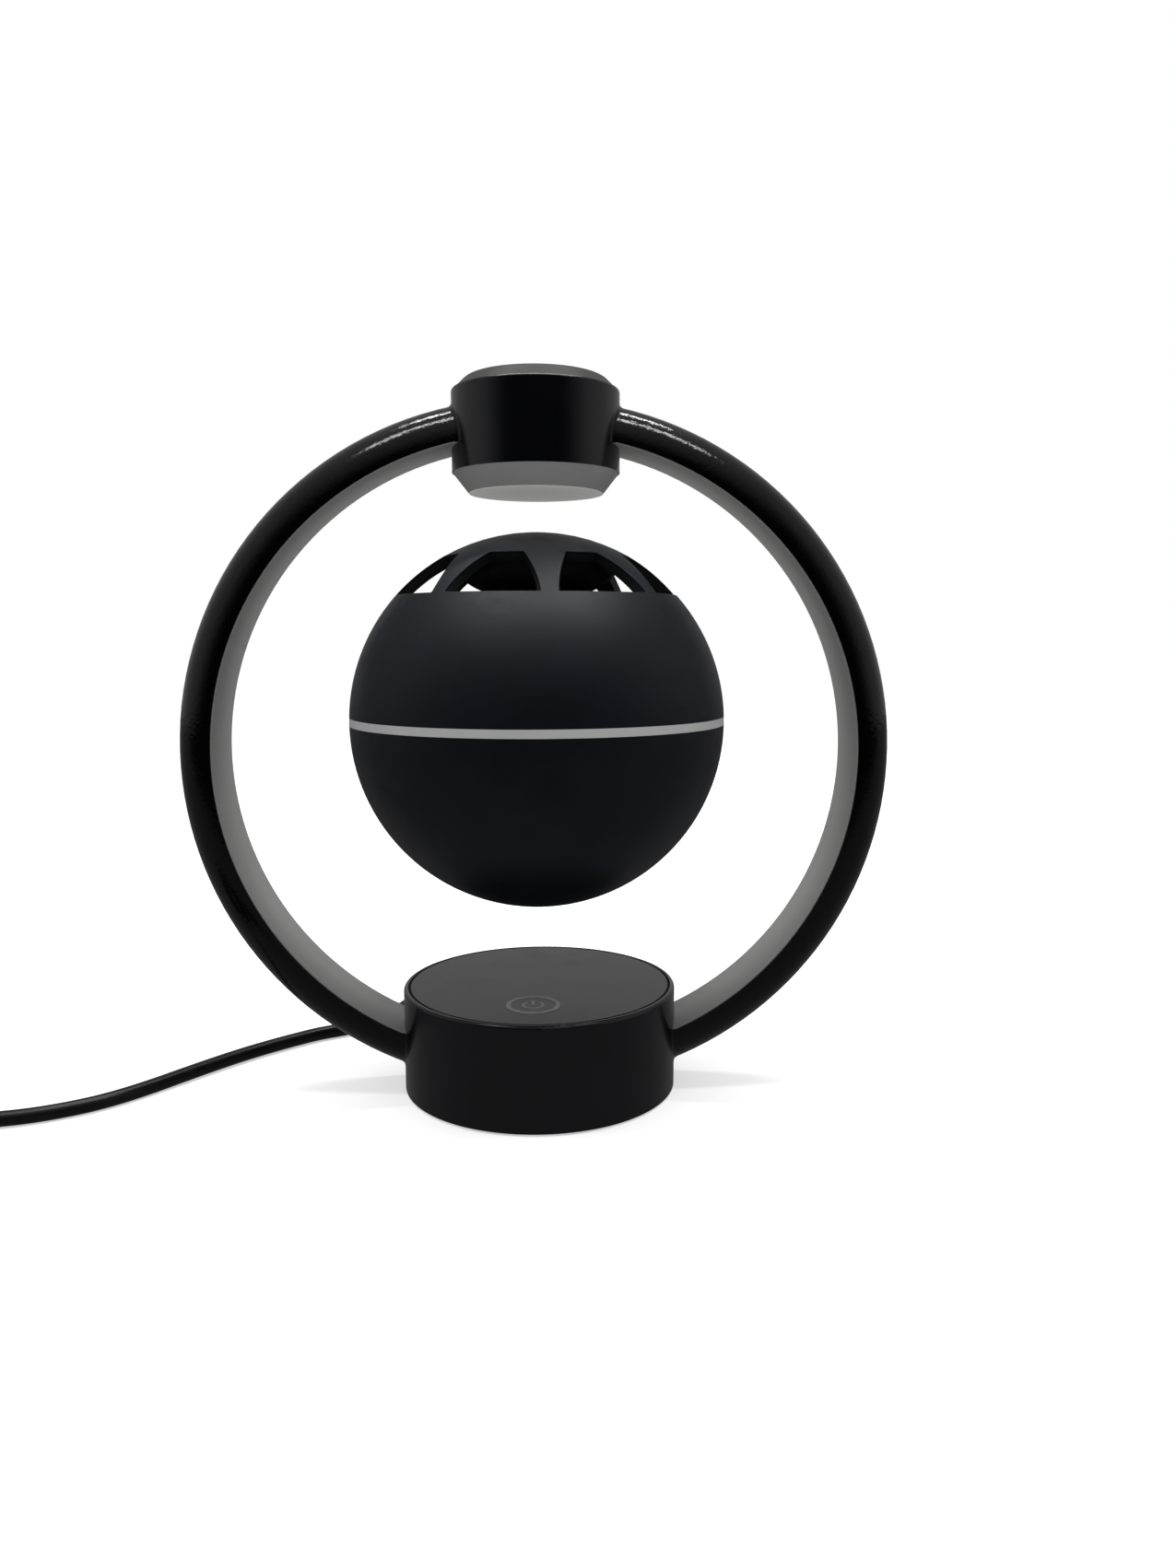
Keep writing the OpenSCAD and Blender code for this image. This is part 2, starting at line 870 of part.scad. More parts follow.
// The windows: a zone of the shell, closed above by a cone square to the ball, less the ribs
module crown_windows() {
    far = ball_r + window_reach;
    difference() {
        rotate_extrude()
            polygon([[window_sill / window_slope, window_sill], [far, window_sill], [far, far * window_slope]]);
        crown_ribs();
    }
}

module ball_upper_shell() {
    color(matte_black)
        in_ball() {
            difference() {
                rotate_extrude()
                    intersection() {
                        difference() {
                            circle(ball_r);
                            circle(ball_in_r);
                        }
                        translate([0, stripe_top + seam])
                            square(ball_r + past);
                    }
                crown_windows();
            }
            // boss that holds the levitation magnet under the hub, with the sound spreader's flank
            rotate_extrude()
                intersection() {
                    circle(ball_in_r + root);
                    polygon([[float_magnet_r + slip, boss_low], [magnet_boss_r + spreader_lip, boss_low],
                        [spreader_r, spreader_z], [spreader_r, ball_r], [float_magnet_r + slip, ball_r]]);
                }
        }
}

module ball_light_ring() {
    color(pale_lens)
        in_ball()
            rotate_extrude() {
                intersection() {
                    circle(ball_r);
                    translate([spigot_in_r, stripe_low])
                        square([ball_r, stripe_h]);
                }
                translate([spigot_in_r, spigot_low])
                    square([spigot_r - spigot_in_r, spigot_high - spigot_low]);
            }
}

module ball_lower_shell() {
    color(matte_black)
        in_ball()
            difference() {
                union() {
                    rotate_extrude()
                        intersection() {
                            difference() {
                                circle(ball_r);
                                circle(ball_in_r);
                            }
                            translate([0, -ball_r - past])
                                square([ball_r + past, ball_r + past + stripe_low - seam]);
                        }
                    // ledge under the light ring
                    rotate_extrude()
                        intersection() {
                            circle(ball_in_r + root);
                            translate([ball_in_r - ledge_w, ledge_top - ledge_t])
                                square([2 * ledge_w, ledge_t]);
                        }
                    // posts of the circuit board
                    intersection() {
                        sphere(ball_in_r + root);
                        around(ball_post_at, [0, 90, 180, 270])
                            translate([0, 0, -ball_r])
                                cylinder(r = ball_post_r, h = ball_r + ball_board_low);
                    }
                }
                around(ball_post_at, [0, 90, 180, 270])
                    translate([0, 0, ball_board_low - ball_screw_l])
                        cylinder(r = ball_screw_r + shank_fit, h = ball_screw_l + past);
                to_back(button_x, port_z)
                    cylinder(r = button_r + run_gap, h = ball_r + past);
                to_back(button_x, port_z)
                    cylinder(r = button_flange_r + run_gap, h = button_seat_y);
                to_back(port_x, port_z)
                    linear_extrude(ball_r + past)
                        stadium(port_size[0] + 2 * slip, port_size[2] + 2 * slip);
                to_back(port_x, port_z)
                    translate([0, 0, port_recess_y])
                        linear_extrude(ball_r)
                            stadium(port_size[0] + port_recess_w, port_size[2] + port_recess_w);
            }
}

module ball_led_board() {
    color(board_green)
        in_ball()
            translate([0, 0, ledge_top]) {
                difference() {
                    cylinder(r = led_ring_r, h = led_ring_t);
                    translate([0, 0, -past])
                        cylinder(r = led_ring_r - led_ring_w, h = led_ring_t + 2 * past);
                }
                around(led_ring_r - led_side, [for (i = [0:11]) i * 30])
                    translate([0, -led_side / 2, led_ring_t - root])
                        cube([led_side - led_back, led_side, led_tall + root]);
            }
}

module levitation_magnet() {
    color(steel)
        in_ball()
            translate([0, 0, magnet_low])
                round_top_disc(float_magnet_r, float_magnet_t, magnet_edge);
}

module magnet_cap() {
    color(matte_black)
        in_ball() {
            translate([0, 0, boss_low - magnet_cap_t])
                cylinder(r = magnet_boss_r, h = magnet_cap_t);
            translate([0, 0, boss_low - root])
                cylinder(r = float_magnet_r, h = magnet_spigot_h + root);
        }
}

module driver_screw_places() {
    around(driver_screw_at, [45, 135, 225, 315])
        children();
}

module speaker_baffle() {
    color(dark_part)
        in_ball()
            difference() {
                translate([0, 0, baffle_low])
                    cylinder(r = baffle_r, h = baffle_t);
                translate([0, 0, baffle_low - past])
                    cylinder(r = baffle_hole_r, h = baffle_t + 2 * past);
                driver_screw_places()
                    translate([0, 0, baffle_low - past])
                        cylinder(r = ball_screw_r + shank_fit, h = baffle_t + 2 * past);
            }
}

module driver_frame() {
    lip_r = basket_r - basket_wall;
    color("#3a3b3e")
        in_ball()
            difference() {
                rotate_extrude()
                    polygon([
                        [lip_r, flange_top], [driver_r, flange_top], [driver_r, baffle_top], [basket_r, baffle_top],
                        [basket_low_r, basket_low], [cone_neck_r, basket_low],
                        [cone_neck_r, basket_low + basket_wall],
                        [basket_low_r - basket_wall / 2, basket_low + basket_wall], [lip_r, baffle_top]
                    ]);
                driver_screw_places()
                    translate([0, 0, baffle_top - past])
                        cylinder(r = ball_screw_r + slip, h = flange_h + 2 * past);
                // openings of the basket
                for (a = [0, 90, 180, 270])
                    rotate([0, 0, a])
                        translate([basket_low_r, -basket_slot_w / 2, basket_low + basket_slot_lift])
                            cube([basket_r, basket_slot_w, basket_slot_h]);
            }
}

module driver_cone() {
    in_r = roll_at - roll_r;
    out_r = roll_at + roll_r;
    glue_w = driver_screw_at - ball_screw_head - glue_gap - out_r + cone_t;
    color("#141416")
        in_ball()
            rotate_extrude() {
                translate([out_r - cone_t, flange_top])
                    square([glue_w, paper_t]);
                translate([roll_at, flange_top])
                    intersection() {
                        difference() {
                            circle(roll_r);
                            circle(roll_r - cone_t);
                        }
                        translate([-roll_r, 0])
                            square(2 * roll_r);
                    }
                polygon([
                    [in_r + cone_t, flange_top], [in_r + cone_t, flange_top + paper_t], [in_r, flange_top + paper_t],
                    [cone_neck_r, cone_neck_z + cone_t], [cone_neck_r, cone_neck_z]]);
                // dust dome over the neck
                translate([0, cone_neck_z + cone_t / 2 - sqrt(dust_dome_r ^ 2 - cone_neck_r ^ 2)])
                    intersection() {
                        difference() {
                            circle(dust_dome_r);
                            circle(dust_dome_r - cone_t);
                        }
                        translate([0, sqrt(dust_dome_r ^ 2 - cone_neck_r ^ 2) - cone_t / 2])
                            square(dust_dome_r);
                    }
            }
}

module driver_magnet() {
    color("#4a4a4c")
        in_ball() {
            translate([0, 0, basket_low - yoke_h])
                cylinder(r = basket_low_r, h = yoke_h);
            translate([0, 0, basket_low - yoke_h - ferrite_h])
                cylinder(r = driver_magnet_r, h = ferrite_h);
            translate([0, 0, basket_low - 2 * yoke_h - ferrite_h])
                cylinder(r = driver_magnet_r - yoke_step, h = yoke_h);
        }
}

module ball_screws() {
    color(steel)
        in_ball() {
            driver_screw_places()
                translate([0, 0, flange_top])
                    pan_screw(ball_screw_r, ball_screw_head, ball_screw_head_h, ball_screw_l);
            around(ball_post_at, [0, 90, 180, 270])
                translate([0, 0, ball_board_top])
                    pan_screw(ball_screw_r, ball_screw_head, ball_screw_head_h, ball_screw_l);
        }
}

module ball_circuit_board() {
    tab_front = ball_board_r - tab_root;
    switch_y = switch_tip_y - switch_pin_l - switch_size[1];
    color(board_green)
        in_ball() {
            difference() {
                union() {
                    translate([0, 0, ball_board_low])
                        cylinder(r = ball_board_r, h = board_t);
                    translate([-tab_w / 2, tab_front, ball_board_low])
                        cube([tab_w, tab_back - tab_front, board_t]);
                }
                around(ball_post_at, [0, 90, 180, 270])
                    translate([0, 0, ball_board_low - past])
                        cylinder(r = ball_screw_r + slip, h = board_t + 2 * past);
            }
            // radio, amplifier and choke
            translate([-radio_size[0] - part_gap, -radio_size[1], ball_board_top - root])
                cube(radio_size + [0, 0, root]);
            translate([part_gap, -chip_w, ball_board_top - root])
                cube([chip_w, chip_w, chip_h + root]);
            translate([choke_r + part_gap, choke_r + part_gap, ball_board_top - root])
                cylinder(r = choke_r, h = choke_h + root);
            // push switch behind the button
            translate([button_x - switch_size[0] / 2, switch_y, ball_board_top - root])
                cube(switch_size + [0, 0, root]);
            to_back(button_x, port_z)
                translate([0, 0, switch_tip_y - 2 * switch_pin_l])
                    cylinder(r = switch_pin_r, h = 2 * switch_pin_l);
        }
}

module ball_battery() {
    color("#5b6a86")
        in_ball()
            translate([0, 0, ball_board_low - cell_size[2]])
                linear_extrude(cell_size[2])
                    round_rect(cell_size[0], cell_size[1], cell_corner);
}

module ball_charge_socket() {
    shell_t = 0.4;
    tongue_t = 0.7;
    tongue_gap = 0.7;
    color(steel)
        in_ball()
            to_back(port_x, port_z)
                translate([0, 0, port_face - port_size[1]]) {
                    difference() {
                        linear_extrude(port_size[1])
                            stadium(port_size[0], port_size[2]);
                        translate([0, 0, port_floor])
                            linear_extrude(port_size[1])
                                stadium(port_size[0] - 2 * shell_t, port_size[2] - 2 * shell_t);
                    }
                    translate([0, 0, port_floor - root])
                        linear_extrude(port_size[1] - port_floor - tongue_gap)
                            square([port_size[0] - port_size[2], tongue_t], center = true);
                }
}

module ball_power_button() {
    color("#2a2c31")
        in_ball() {
            intersection() {
                sphere(ball_r + button_proud);
                to_back(button_x, port_z)
                    translate([0, 0, button_front_y - root])
                        cylinder(r = button_r, h = ball_r);
            }
            to_back(button_x, port_z)
                translate([0, 0, button_front_y - button_flange_t]) {
                    cylinder(r = button_flange_r, h = button_flange_t);
                    translate([0, 0, -button_nub_l])
                        cylinder(r = button_nub_r, h = button_nub_l + root);
                }
        }
}

module power_plug() {
    body_end = plug_start + plug_l;
    color(gloss_black)
        to_back(0, dc_z)
            rotate_extrude() {
                translate([plug_sleeve_in_r, jack_face - plug_sleeve_l])
                    square([plug_sleeve_r - plug_sleeve_in_r, plug_sleeve_l + plug_start - jack_face + root]);
                translate([0, plug_start])
                    square([plug_r, plug_l - plug_edge]);
                polygon([[0, body_end - plug_edge], [plug_r, body_end - plug_edge], [plug_r - plug_edge, body_end],
                    [relief_r, body_end], [relief_tip_r, plug_tip], [0, plug_tip]]);
            }
}

function unit(v) = v / norm(v);
function route_length(route) =
    len(route) < 2 ? 0 : [for (i = 1, s = 0; i <= len(route);
        s = i < len(route) ? s + norm(route[i] - route[i - 1]) : s, i = i + 1) s][len(route) - 1];

// Direction of a route at one of its points
function heading(route, i) = unit(route[min(i + 1, len(route) - 1)] - route[max(i - 1, 0)]);

// Corners of a tube's ring, square to the route
function tube_ring(p, along, r, sides) =
    let (side = unit(cross(along, [0, 0, 1])), up = cross(side, along))
    [for (k = [0:sides - 1]) p + r * (cos(360 * k / sides) * side + sin(360 * k / sides) * up)];

// A closed tube of triangles along a route
module tube(route, r, sides) {
    rings = len(route);
    points = [for (i = [0:rings - 1]) each tube_ring(route[i], heading(route, i), r, sides)];
    walls = [
        for (i = [0:rings - 2], k = [0:sides - 1])
            let (a = i * sides + k, b = i * sides + (k + 1) % sides, c = a + sides, d = b + sides)
                each [[a, b, d], [a, d, c]]
    ];
    last = (rings - 1) * sides;
    caps = [
        for (k = [1:sides - 2])
            each [[0, k + 1, k], [last, last + k, last + k + 1]]
    ];
    polyhedron(points = points, faces = concat(walls, caps));
}

// The coil's spiral after t turns: steadily in and out again, climbing a layer in the half turn where it reverses
function coil_radius(t) = coil_low_r + coil_pitch * abs(t - coil_turns - 0.25);
function ease(x) = x <= 0 ? 0 : x >= 1 ? 1 : x * x * (3 - 2 * x);
function coil_height(t) = coil_z + (coil_z2 - coil_z) * ease(2 * (t - coil_turns));
function coil_point(t) =
    [coil_x, coil_y, 0]
    + [coil_radius(t) * cos(90 + 360 * t), coil_radius(t) * sin(90 + 360 * t), coil_height(t)];

// The coil's route, with a straight start and a straight tail that comes down beside the turns to the plug
coil_steps = coil_all_turns * coil_rings;
coil_turned = [for (i = [0:coil_steps]) coil_point(i / coil_rings)];
tail_start = coil_turned[coil_steps];
tail = [
    for (i = [1:4])
        [tail_start[0] + tail_drop_l * i / 4, tail_start[1], coil_z2 + (usb_z - coil_z2) * ease(i / 4)]
];
tail_end = [tail_start[0] + tail_l, tail_start[1], usb_z];
coil_route = concat([coil_turned[0] + [cord_d, 0, 0]], coil_turned, tail, [tail_end]);

// Least gap between turns, measured between points at least half a turn apart
coil_gap = min([
    for (i = [0:len(coil_route) - 1], j = [i + coil_rings / 2:1:len(coil_route) - 1])
        norm(coil_route[i] - coil_route[j])
]) - cord_d;
echo(coil_gap = coil_gap, free_length = route_length(cord_route), coil_length = route_length(coil_route));

module power_cord() {
    color(gloss_black)
        tube(cord_route, cord_d / 2, cord_sides);
}

module cord_coil() {
    color(gloss_black)
        tube(coil_route, cord_d / 2, coil_sides);
}

// A band round the coil's turns on its far side from the lamp
module cord_tie() {
    low_r = sqrt((coil_low_r - cord_d / 2) ^ 2 - (tie_w / 2) ^ 2) - slip;
    high_r = coil_high_r + cord_d / 2 + slip;
    top = coil_z2 + cord_d / 2 + slip;
    color("#202024")
        translate([coil_x, coil_y, 0])
            difference() {
                translate([-high_r - tie_t, -tie_w / 2, 0])
                    cube([high_r - low_r + 2 * tie_t, tie_w, top + tie_t]);
                translate([-high_r, -tie_w / 2 - past, tie_t])
                    cube([high_r - low_r, tie_w + 2 * past, top - tie_t]);
            }
}

module usb_plug() {
    usb_tongue_w = usb_shell[1] - 2 * usb_shell_t;
    usb_tongue_t = usb_shell[2] / 2 - usb_shell_t;
    body_x = usb_relief_l;
    shell_x = body_x + usb_body[0];
    translate(tail_end)
        rotate([90, 0, 90]) {
            color(gloss_black) {
                cylinder(r1 = cord_d / 2 + 0.4, r2 = usb_half_h - 0.8, h = usb_relief_l + root);
                translate([0, 0, body_x])
                    linear_extrude(usb_body[0])
                        round_rect(usb_body[1], 2 * usb_half_h, usb_corner);
            }
            color(steel)
                translate([0, 0, shell_x - root])
                    difference() {
                        linear_extrude(usb_shell[0] + root)
                            square([usb_shell[1], usb_shell[2]], center = true);
                        translate([0, usb_shell[2] / 4 - usb_shell_t / 2, 2 * root])
                            linear_extrude(usb_shell[0])
                                square([usb_tongue_w, usb_tongue_t], center = true);
                    }
        }
}

base_shell();
base_top_plate();
touch_sensor_board();
base_bottom_cover();
base_foot_pads();
base_screws();
base_weight();
base_circuit_board();
dc_socket();
arm_channel_left();
arm_channel_right();
arm_diffuser_left();
arm_diffuser_right();
arm_led_strip_left();
arm_led_strip_right();
head_band();
head_top_cap();
head_lower_cover();
electromagnet_core();
electromagnet_bobbin();
electromagnet_coil();
hall_sensor_board();
head_screws();
ball_upper_shell();
ball_light_ring();
ball_lower_shell();
ball_led_board();
levitation_magnet();
magnet_cap();
speaker_baffle();
driver_frame();
driver_cone();
driver_magnet();
ball_screws();
ball_circuit_board();
ball_battery();
ball_charge_socket();
ball_power_button();
power_plug();
power_cord();
cord_coil();
cord_tie();
usb_plug();
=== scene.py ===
"""Looks of a levitating speaker lamp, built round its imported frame.

A black ring stands in a drum base and carries a magnet head. A speaker ball with a ribbed crown
floats under the head, and a lead lies on the table, with its spare length coiled and tied.
"""

import json
import math

import bmesh
import bpy
import numpy as np
from bpy.props import FloatProperty, FloatVectorProperty, IntProperty, PointerProperty
from mathutils import Matrix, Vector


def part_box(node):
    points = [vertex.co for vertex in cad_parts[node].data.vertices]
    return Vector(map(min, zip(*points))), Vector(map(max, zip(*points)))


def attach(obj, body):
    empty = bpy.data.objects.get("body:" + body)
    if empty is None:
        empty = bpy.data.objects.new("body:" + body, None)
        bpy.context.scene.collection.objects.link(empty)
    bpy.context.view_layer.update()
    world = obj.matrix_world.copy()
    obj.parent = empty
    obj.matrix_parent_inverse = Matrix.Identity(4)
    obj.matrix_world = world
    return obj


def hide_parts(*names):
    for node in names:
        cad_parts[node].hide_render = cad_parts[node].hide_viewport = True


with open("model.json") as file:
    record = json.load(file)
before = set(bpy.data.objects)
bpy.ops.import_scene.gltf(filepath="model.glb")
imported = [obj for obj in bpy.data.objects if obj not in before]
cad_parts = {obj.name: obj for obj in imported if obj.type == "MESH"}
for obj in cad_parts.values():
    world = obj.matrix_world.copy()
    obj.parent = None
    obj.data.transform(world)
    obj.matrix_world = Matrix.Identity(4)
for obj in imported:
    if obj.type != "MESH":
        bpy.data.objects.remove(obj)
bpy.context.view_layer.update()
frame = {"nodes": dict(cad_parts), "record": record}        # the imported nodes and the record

bl_info = {
    "name": "Levitating Speaker Lamp",
    "version": (1, 0, 0),
    "blender": (4, 5, 0),
    "location": "3D View > Sidebar > Lamp",
    "description": "Dresses the packed frame of a ring lamp that floats a round speaker",
    "category": "Object",
}

SLOT_OF = {part["node"]: part["material_slot"] for part in frame["record"]["subparts"]}

# What the boxes don't tell: the magnet cap's thickness, the play round the magnet, the drum's rim
CAP_T = 0.002
PLAY = 0.0002
RIM_W = 0.00145

# Places that the frame gives, in metres
BALL_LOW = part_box("ball_lower_shell")[0][2]
BALL_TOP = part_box("ball_upper_shell")[1][2]
BALL_R = (BALL_TOP - BALL_LOW) / 2
BALL_Z = (BALL_TOP + BALL_LOW) / 2
CROWN_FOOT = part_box("ball_upper_shell")[0][2] - BALL_Z
BOSS_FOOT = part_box("magnet_cap")[0][2] + CAP_T - BALL_Z
BOSS_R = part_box("magnet_cap")[1][0]
BOSS_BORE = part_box("levitation_magnet")[1][0] + PLAY
PLATE_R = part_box("base_top_plate")[1][0]
DRUM_R = PLATE_R + RIM_W
PLATE_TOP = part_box("base_top_plate")[1][2]
BAND_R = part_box("head_band")[1][0]
ARM_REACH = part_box("arm_channel_right")[1][0]

# The lead's free stretch, from the plug's strain relief to the coil, in metres
LEAD_ROUTE = (
    (0, 0.06, 0.0144), (0, 0.065, 0.0144), (-0.0006, 0.073, 0.0137), (-0.0035, 0.081, 0.0122),
    (-0.01, 0.0875, 0.0102), (-0.019, 0.09, 0.0079), (-0.028, 0.088, 0.0057), (-0.035, 0.0828, 0.004),
    (-0.0392, 0.076, 0.0028), (-0.042, 0.069, 0.0022), (-0.0444, 0.0624, 0.00205),
    (-0.0469, 0.0558, 0.00205), (-0.05, 0.0494, 0.00205), (-0.0548, 0.0434, 0.00205),
    (-0.0613, 0.0389, 0.00205), (-0.0686, 0.0349, 0.00205), (-0.0755, 0.0294, 0.00205),
    (-0.082, 0.0235, 0.00205), (-0.088, 0.0174, 0.00205), (-0.094, 0.0104, 0.00205),
    (-0.0998, 0.0031, 0.00205), (-0.1054, -0.0041, 0.00205), (-0.111, -0.0105, 0.00205),
    (-0.1172, -0.016, 0.00205), (-0.1242, -0.0203, 0.00205), (-0.1318, -0.0235, 0.00205),
    (-0.14, -0.0256, 0.00215), (-0.1485, -0.0267, 0.00245), (-0.1565, -0.0271, 0.00265),
    (-0.1643, -0.0271, 0.00265),
)


def metres(label, text, default):
    """A length property."""
    return FloatProperty(name=label, description=text, default=default, unit="LENGTH", precision=5)


def number(label, text, default):
    """A property without a unit."""
    return FloatProperty(name=label, description=text, default=default, precision=3)


def turned(label, text, degrees):
    """An angle property, given in degrees."""
    return FloatProperty(name=label, description=text, default=math.radians(degrees), unit="ROTATION")


def shade(label, text, *rgb):
    """A linear colour property."""
    return FloatVectorProperty(name=label, description=text, default=rgb, subtype="COLOR", min=0, max=1)


class LampSizes(bpy.types.PropertyGroup):
    """Sizes of the pieces that are made here; the rest comes from the frame."""

    ring_r: metres("Ring radius", "From the middle of a ring half to its flat inner face", 0.082)
    ring_z: metres("Ring height", "Height of the ring's middle above the table", 0.0925605)
    arm_depth: metres("Arm depth", "Radius of the ring's half-round section", 0.0107)
    collar: metres("Collar", "How far the paint fills the corner between ring and housing", 0.0011)
    shell_wall: metres("Shell wall", "Thickness of the ball's shell at the crown", 0.0027)
    rib_count: IntProperty(name="Ribs", description="Ribs of the crown", default=8, min=3, max=16)
    rib_turn: turned("Rib turn", "Angle of the first rib from the front", 4.9)
    rib_low: metres("Rib foot", "Width of a rib at the window sill", 0.0043)
    rib_high: metres("Rib head", "Width of a rib at the window's upper edge", 0.0104)
    rib_draft: metres("Rib draft", "How much wider a rib is inside than outside, on each flank", 0.0006)
    rib_power: number("Rib power", "Power of the height by which a rib widens", 1.7)
    window_low: metres("Window sill", "Height of the sill above the ball's middle", 0.0334)
    window_high: metres("Window head", "Height of the window's upper edge on the outside", 0.0435)
    crown_edge: metres("Crown edge", "Rounding of the window edges", 0.00035)
    key_r: metres("Touch key", "Outer radius of the touch key's raised ring", 0.0071)
    key_x: metres("Touch key aside", "Distance of the key from the lamp's middle, to the right", -0.0017)
    key_y: metres("Touch key place", "Distance of the key from the lamp's axis, to the front", 0.0203)
    key_line: metres("Key ring width", "Width of the key's raised ring", 0.0012)
    sign_r: metres("Power sign", "Radius of the power sign's arc", 0.0026)
    sign_line: metres("Power sign line", "Width of the power sign's lines", 0.00062)
    lead_d: metres("Lead", "Diameter of the lead", 0.004)
    coil_r: metres("Coil", "Largest radius of the coil at the middle of the lead", 0.029)
    coil_pitch: metres("Coil pitch", "Distance of one turn or layer from the next", 0.0045)
    coil_turns: number("Coil turns", "Turns of the spiral in and out again", 6.5)
    tie_w: metres("Tie width", "Width of the tie round the coil", 0.008)
    tie_t: metres("Tie thickness", "Thickness of the tie", 0.0006)
    plug_body: metres("Plug body", "Length of the lamp plug's thick part", 0.012)
    plug_sleeve: metres("Plug sleeve", "Radius of the metal sleeve that goes into the socket", 0.00275)
    plug_pin: metres("Plug bore", "Radius of the bore for the socket's pin", 0.0012)
    groove: metres("Groove", "Depth of the grip rings and of the cuts in the strain reliefs", 0.0004)
    usb_relief: metres("USB relief", "Length of the USB plug's strain relief", 0.006)
    usb_body: metres("USB body", "Length of the USB plug's grip", 0.018)
    usb_corner: metres("USB corner", "Radius of the grip's long edges", 0.0022)
    usb_w: metres("USB width", "Width of the steel shell", 0.012)
    usb_h: metres("USB height", "Height of the steel shell", 0.0045)
    usb_wall: metres("USB wall", "Thickness of the steel shell", 0.0004)


class LampColours(bpy.types.PropertyGroup):
    """Linear colours of the finishes."""

    satin_black: shade("Satin black", "Drum and head band", 0.0006, 0.0009, 0.0026)
    gloss_black: shade("Gloss black", "Ring", 0.0006, 0.0006, 0.0007)
    soft_black: shade("Soft black", "Ball", 0.0003, 0.0022, 0.009)
    bare_black: shade("Bare black", "Uncoated plastic inside the ball", 0.006, 0.0066, 0.008)
    smoked_plate: shade("Smoked plate", "Touch plate", 0.011, 0.011, 0.0105)
    # Painted shade: black that stands in for the shade in the groove round the touch plate
    border_black: shade("Border black", "Border of the touch plate", 0.002, 0.002, 0.002)
    key_grey: shade("Key grey", "Ring and sign of the touch key", 0.32, 0.32, 0.31)
    frosted_grey: shade("Frosted grey", "Light strips of the ring", 0.3, 0.298, 0.295)
    cap_grey: shade("Cap grey", "Top cap of the head", 0.066, 0.065, 0.062)
    cover_grey: shade("Cover grey", "Lower cover of the head", 0.22, 0.222, 0.221)
    # Painted light: near-white that stands in for light falling on the head's flat underside
    window_white: shade("Window white", "Flat underside of the head's lower cover", 0.96, 0.95, 0.91)
    pale_lens: shade("Pale lens", "Light stripe of the ball", 0.41, 0.407, 0.41)
    dark_plastic: shade("Dark plastic", "Bottom cover, socket and bobbin", 0.012, 0.012, 0.013)
    silicone: shade("Silicone", "Foot pads", 0.012, 0.012, 0.012)
    steel: shade("Steel", "Screws, weight and magnets", 0.56, 0.57, 0.58)
    copper: shade("Copper", "Winding of the electromagnet", 0.6, 0.25, 0.11)
    ferrite: shade("Ferrite", "Magnet of the driver", 0.06, 0.06, 0.062)
    pressed_steel: shade("Pressed steel", "Frame of the driver", 0.035, 0.035, 0.037)
    paper: shade("Paper", "Cone of the driver", 0.014, 0.014, 0.015)
    board_green: shade("Board green", "Circuit boards", 0.012, 0.075, 0.035)
    tin: shade("Tin", "Pads of the circuit boards", 0.45, 0.44, 0.42)
    strip_white: shade("Strip white", "Light strips inside the ring", 0.7, 0.68, 0.58)
    solder: shade("Solder", "Contacts of the light strips", 0.55, 0.42, 0.2)
    cell_wrap: shade("Cell wrap", "Sleeve of the battery", 0.05, 0.09, 0.2)
    lead_black: shade("Lead black", "Lead and plugs", 0.0045, 0.0045, 0.0048)
    webbing: shade("Webbing", "Tie round the coil", 0.016, 0.016, 0.018)
    dust: shade("Dust", "Specks on faces that look upwards", 0.09, 0.088, 0.085)


class LampStudio(bpy.types.PropertyGroup):
    """Camera and light."""

    lens: number("Lens", "Focal length on a 36 mm long side, in millimetres", 26.263)
    eye: FloatVectorProperty(name="Eye", description="Place of the camera", subtype="XYZ", unit="LENGTH",
                             default=(0.0008, -0.30947, 0.12378))
    pitch: turned("Pitch", "How far the camera looks down", 7.33)
    yaw: turned("Yaw", "How far the camera looks to the right", 2.36)
    roll: turned("Roll", "How far the camera is turned about its axis", -0.09)
    key_power: number("Key lamps", "Power of each lamp overhead, in watts", 3.8)
    room_light: number("Room light", "Light of the surroundings on the object", 0.55)
    ceiling: number("Ceiling", "What gloss sees overhead between the lamps", 0.4)
    dim: number("Dim room", "What gloss sees of the room before the lamp", 0.01)
    panels: number("Side panels", "What gloss sees on both sides", 0.32)
    back: number("Back wall", "What gloss sees behind the lamp", 0.45)
    table: number("Near floor", "What gloss sees of the floor round the lamp", 0.13)
    floor_tone: number("Floor tone", "Part of its light that the floor throws back", 0.92)
    floor_lift: number("Floor lift", "White that the floor shows of itself", 0.5)


# Meshes from arrays

# Distance at which points are one, and the angle in degrees over which an edge is sharp
WELD = 1e-7
CREASE = 40.0


def join(*parts):
    """Arrays side by side along a new last axis, where a number is repeated to fit."""
    return np.stack(np.broadcast_arrays(*parts), axis=-1)


def polar(radius, angle):
    """Both coordinates at a radius and an angle: r cos a and r sin a."""
    return radius * np.cos(angle), radius * np.sin(angle)


def grid(rows, columns):
    """Corner numbers of a grid's squares, row by row, where the last column meets the first."""
    index = np.arange(rows * columns).reshape(rows, columns)
    beside = np.roll(index, -1, axis=1)
    return join(index[:-1], beside[:-1], beside[1:], index[1:]).reshape(-1, 4)


def torus(rows, columns):
    """Squares of a grid that closes on itself both ways."""
    return [grid(rows + 1, columns) % (rows * columns)]


def tube(rows, columns):
    """Squares of a tube of closed rows, and the faces of its two ends."""
    ring = np.arange(columns)
    return [grid(rows, columns), [ring[::-1]], [(rows - 1) * columns + ring]]


def add_object(name, data):
    """A new object in the scene."""
    made = bpy.data.objects.new(name, data)
    bpy.context.scene.collection.objects.link(made)
    return made


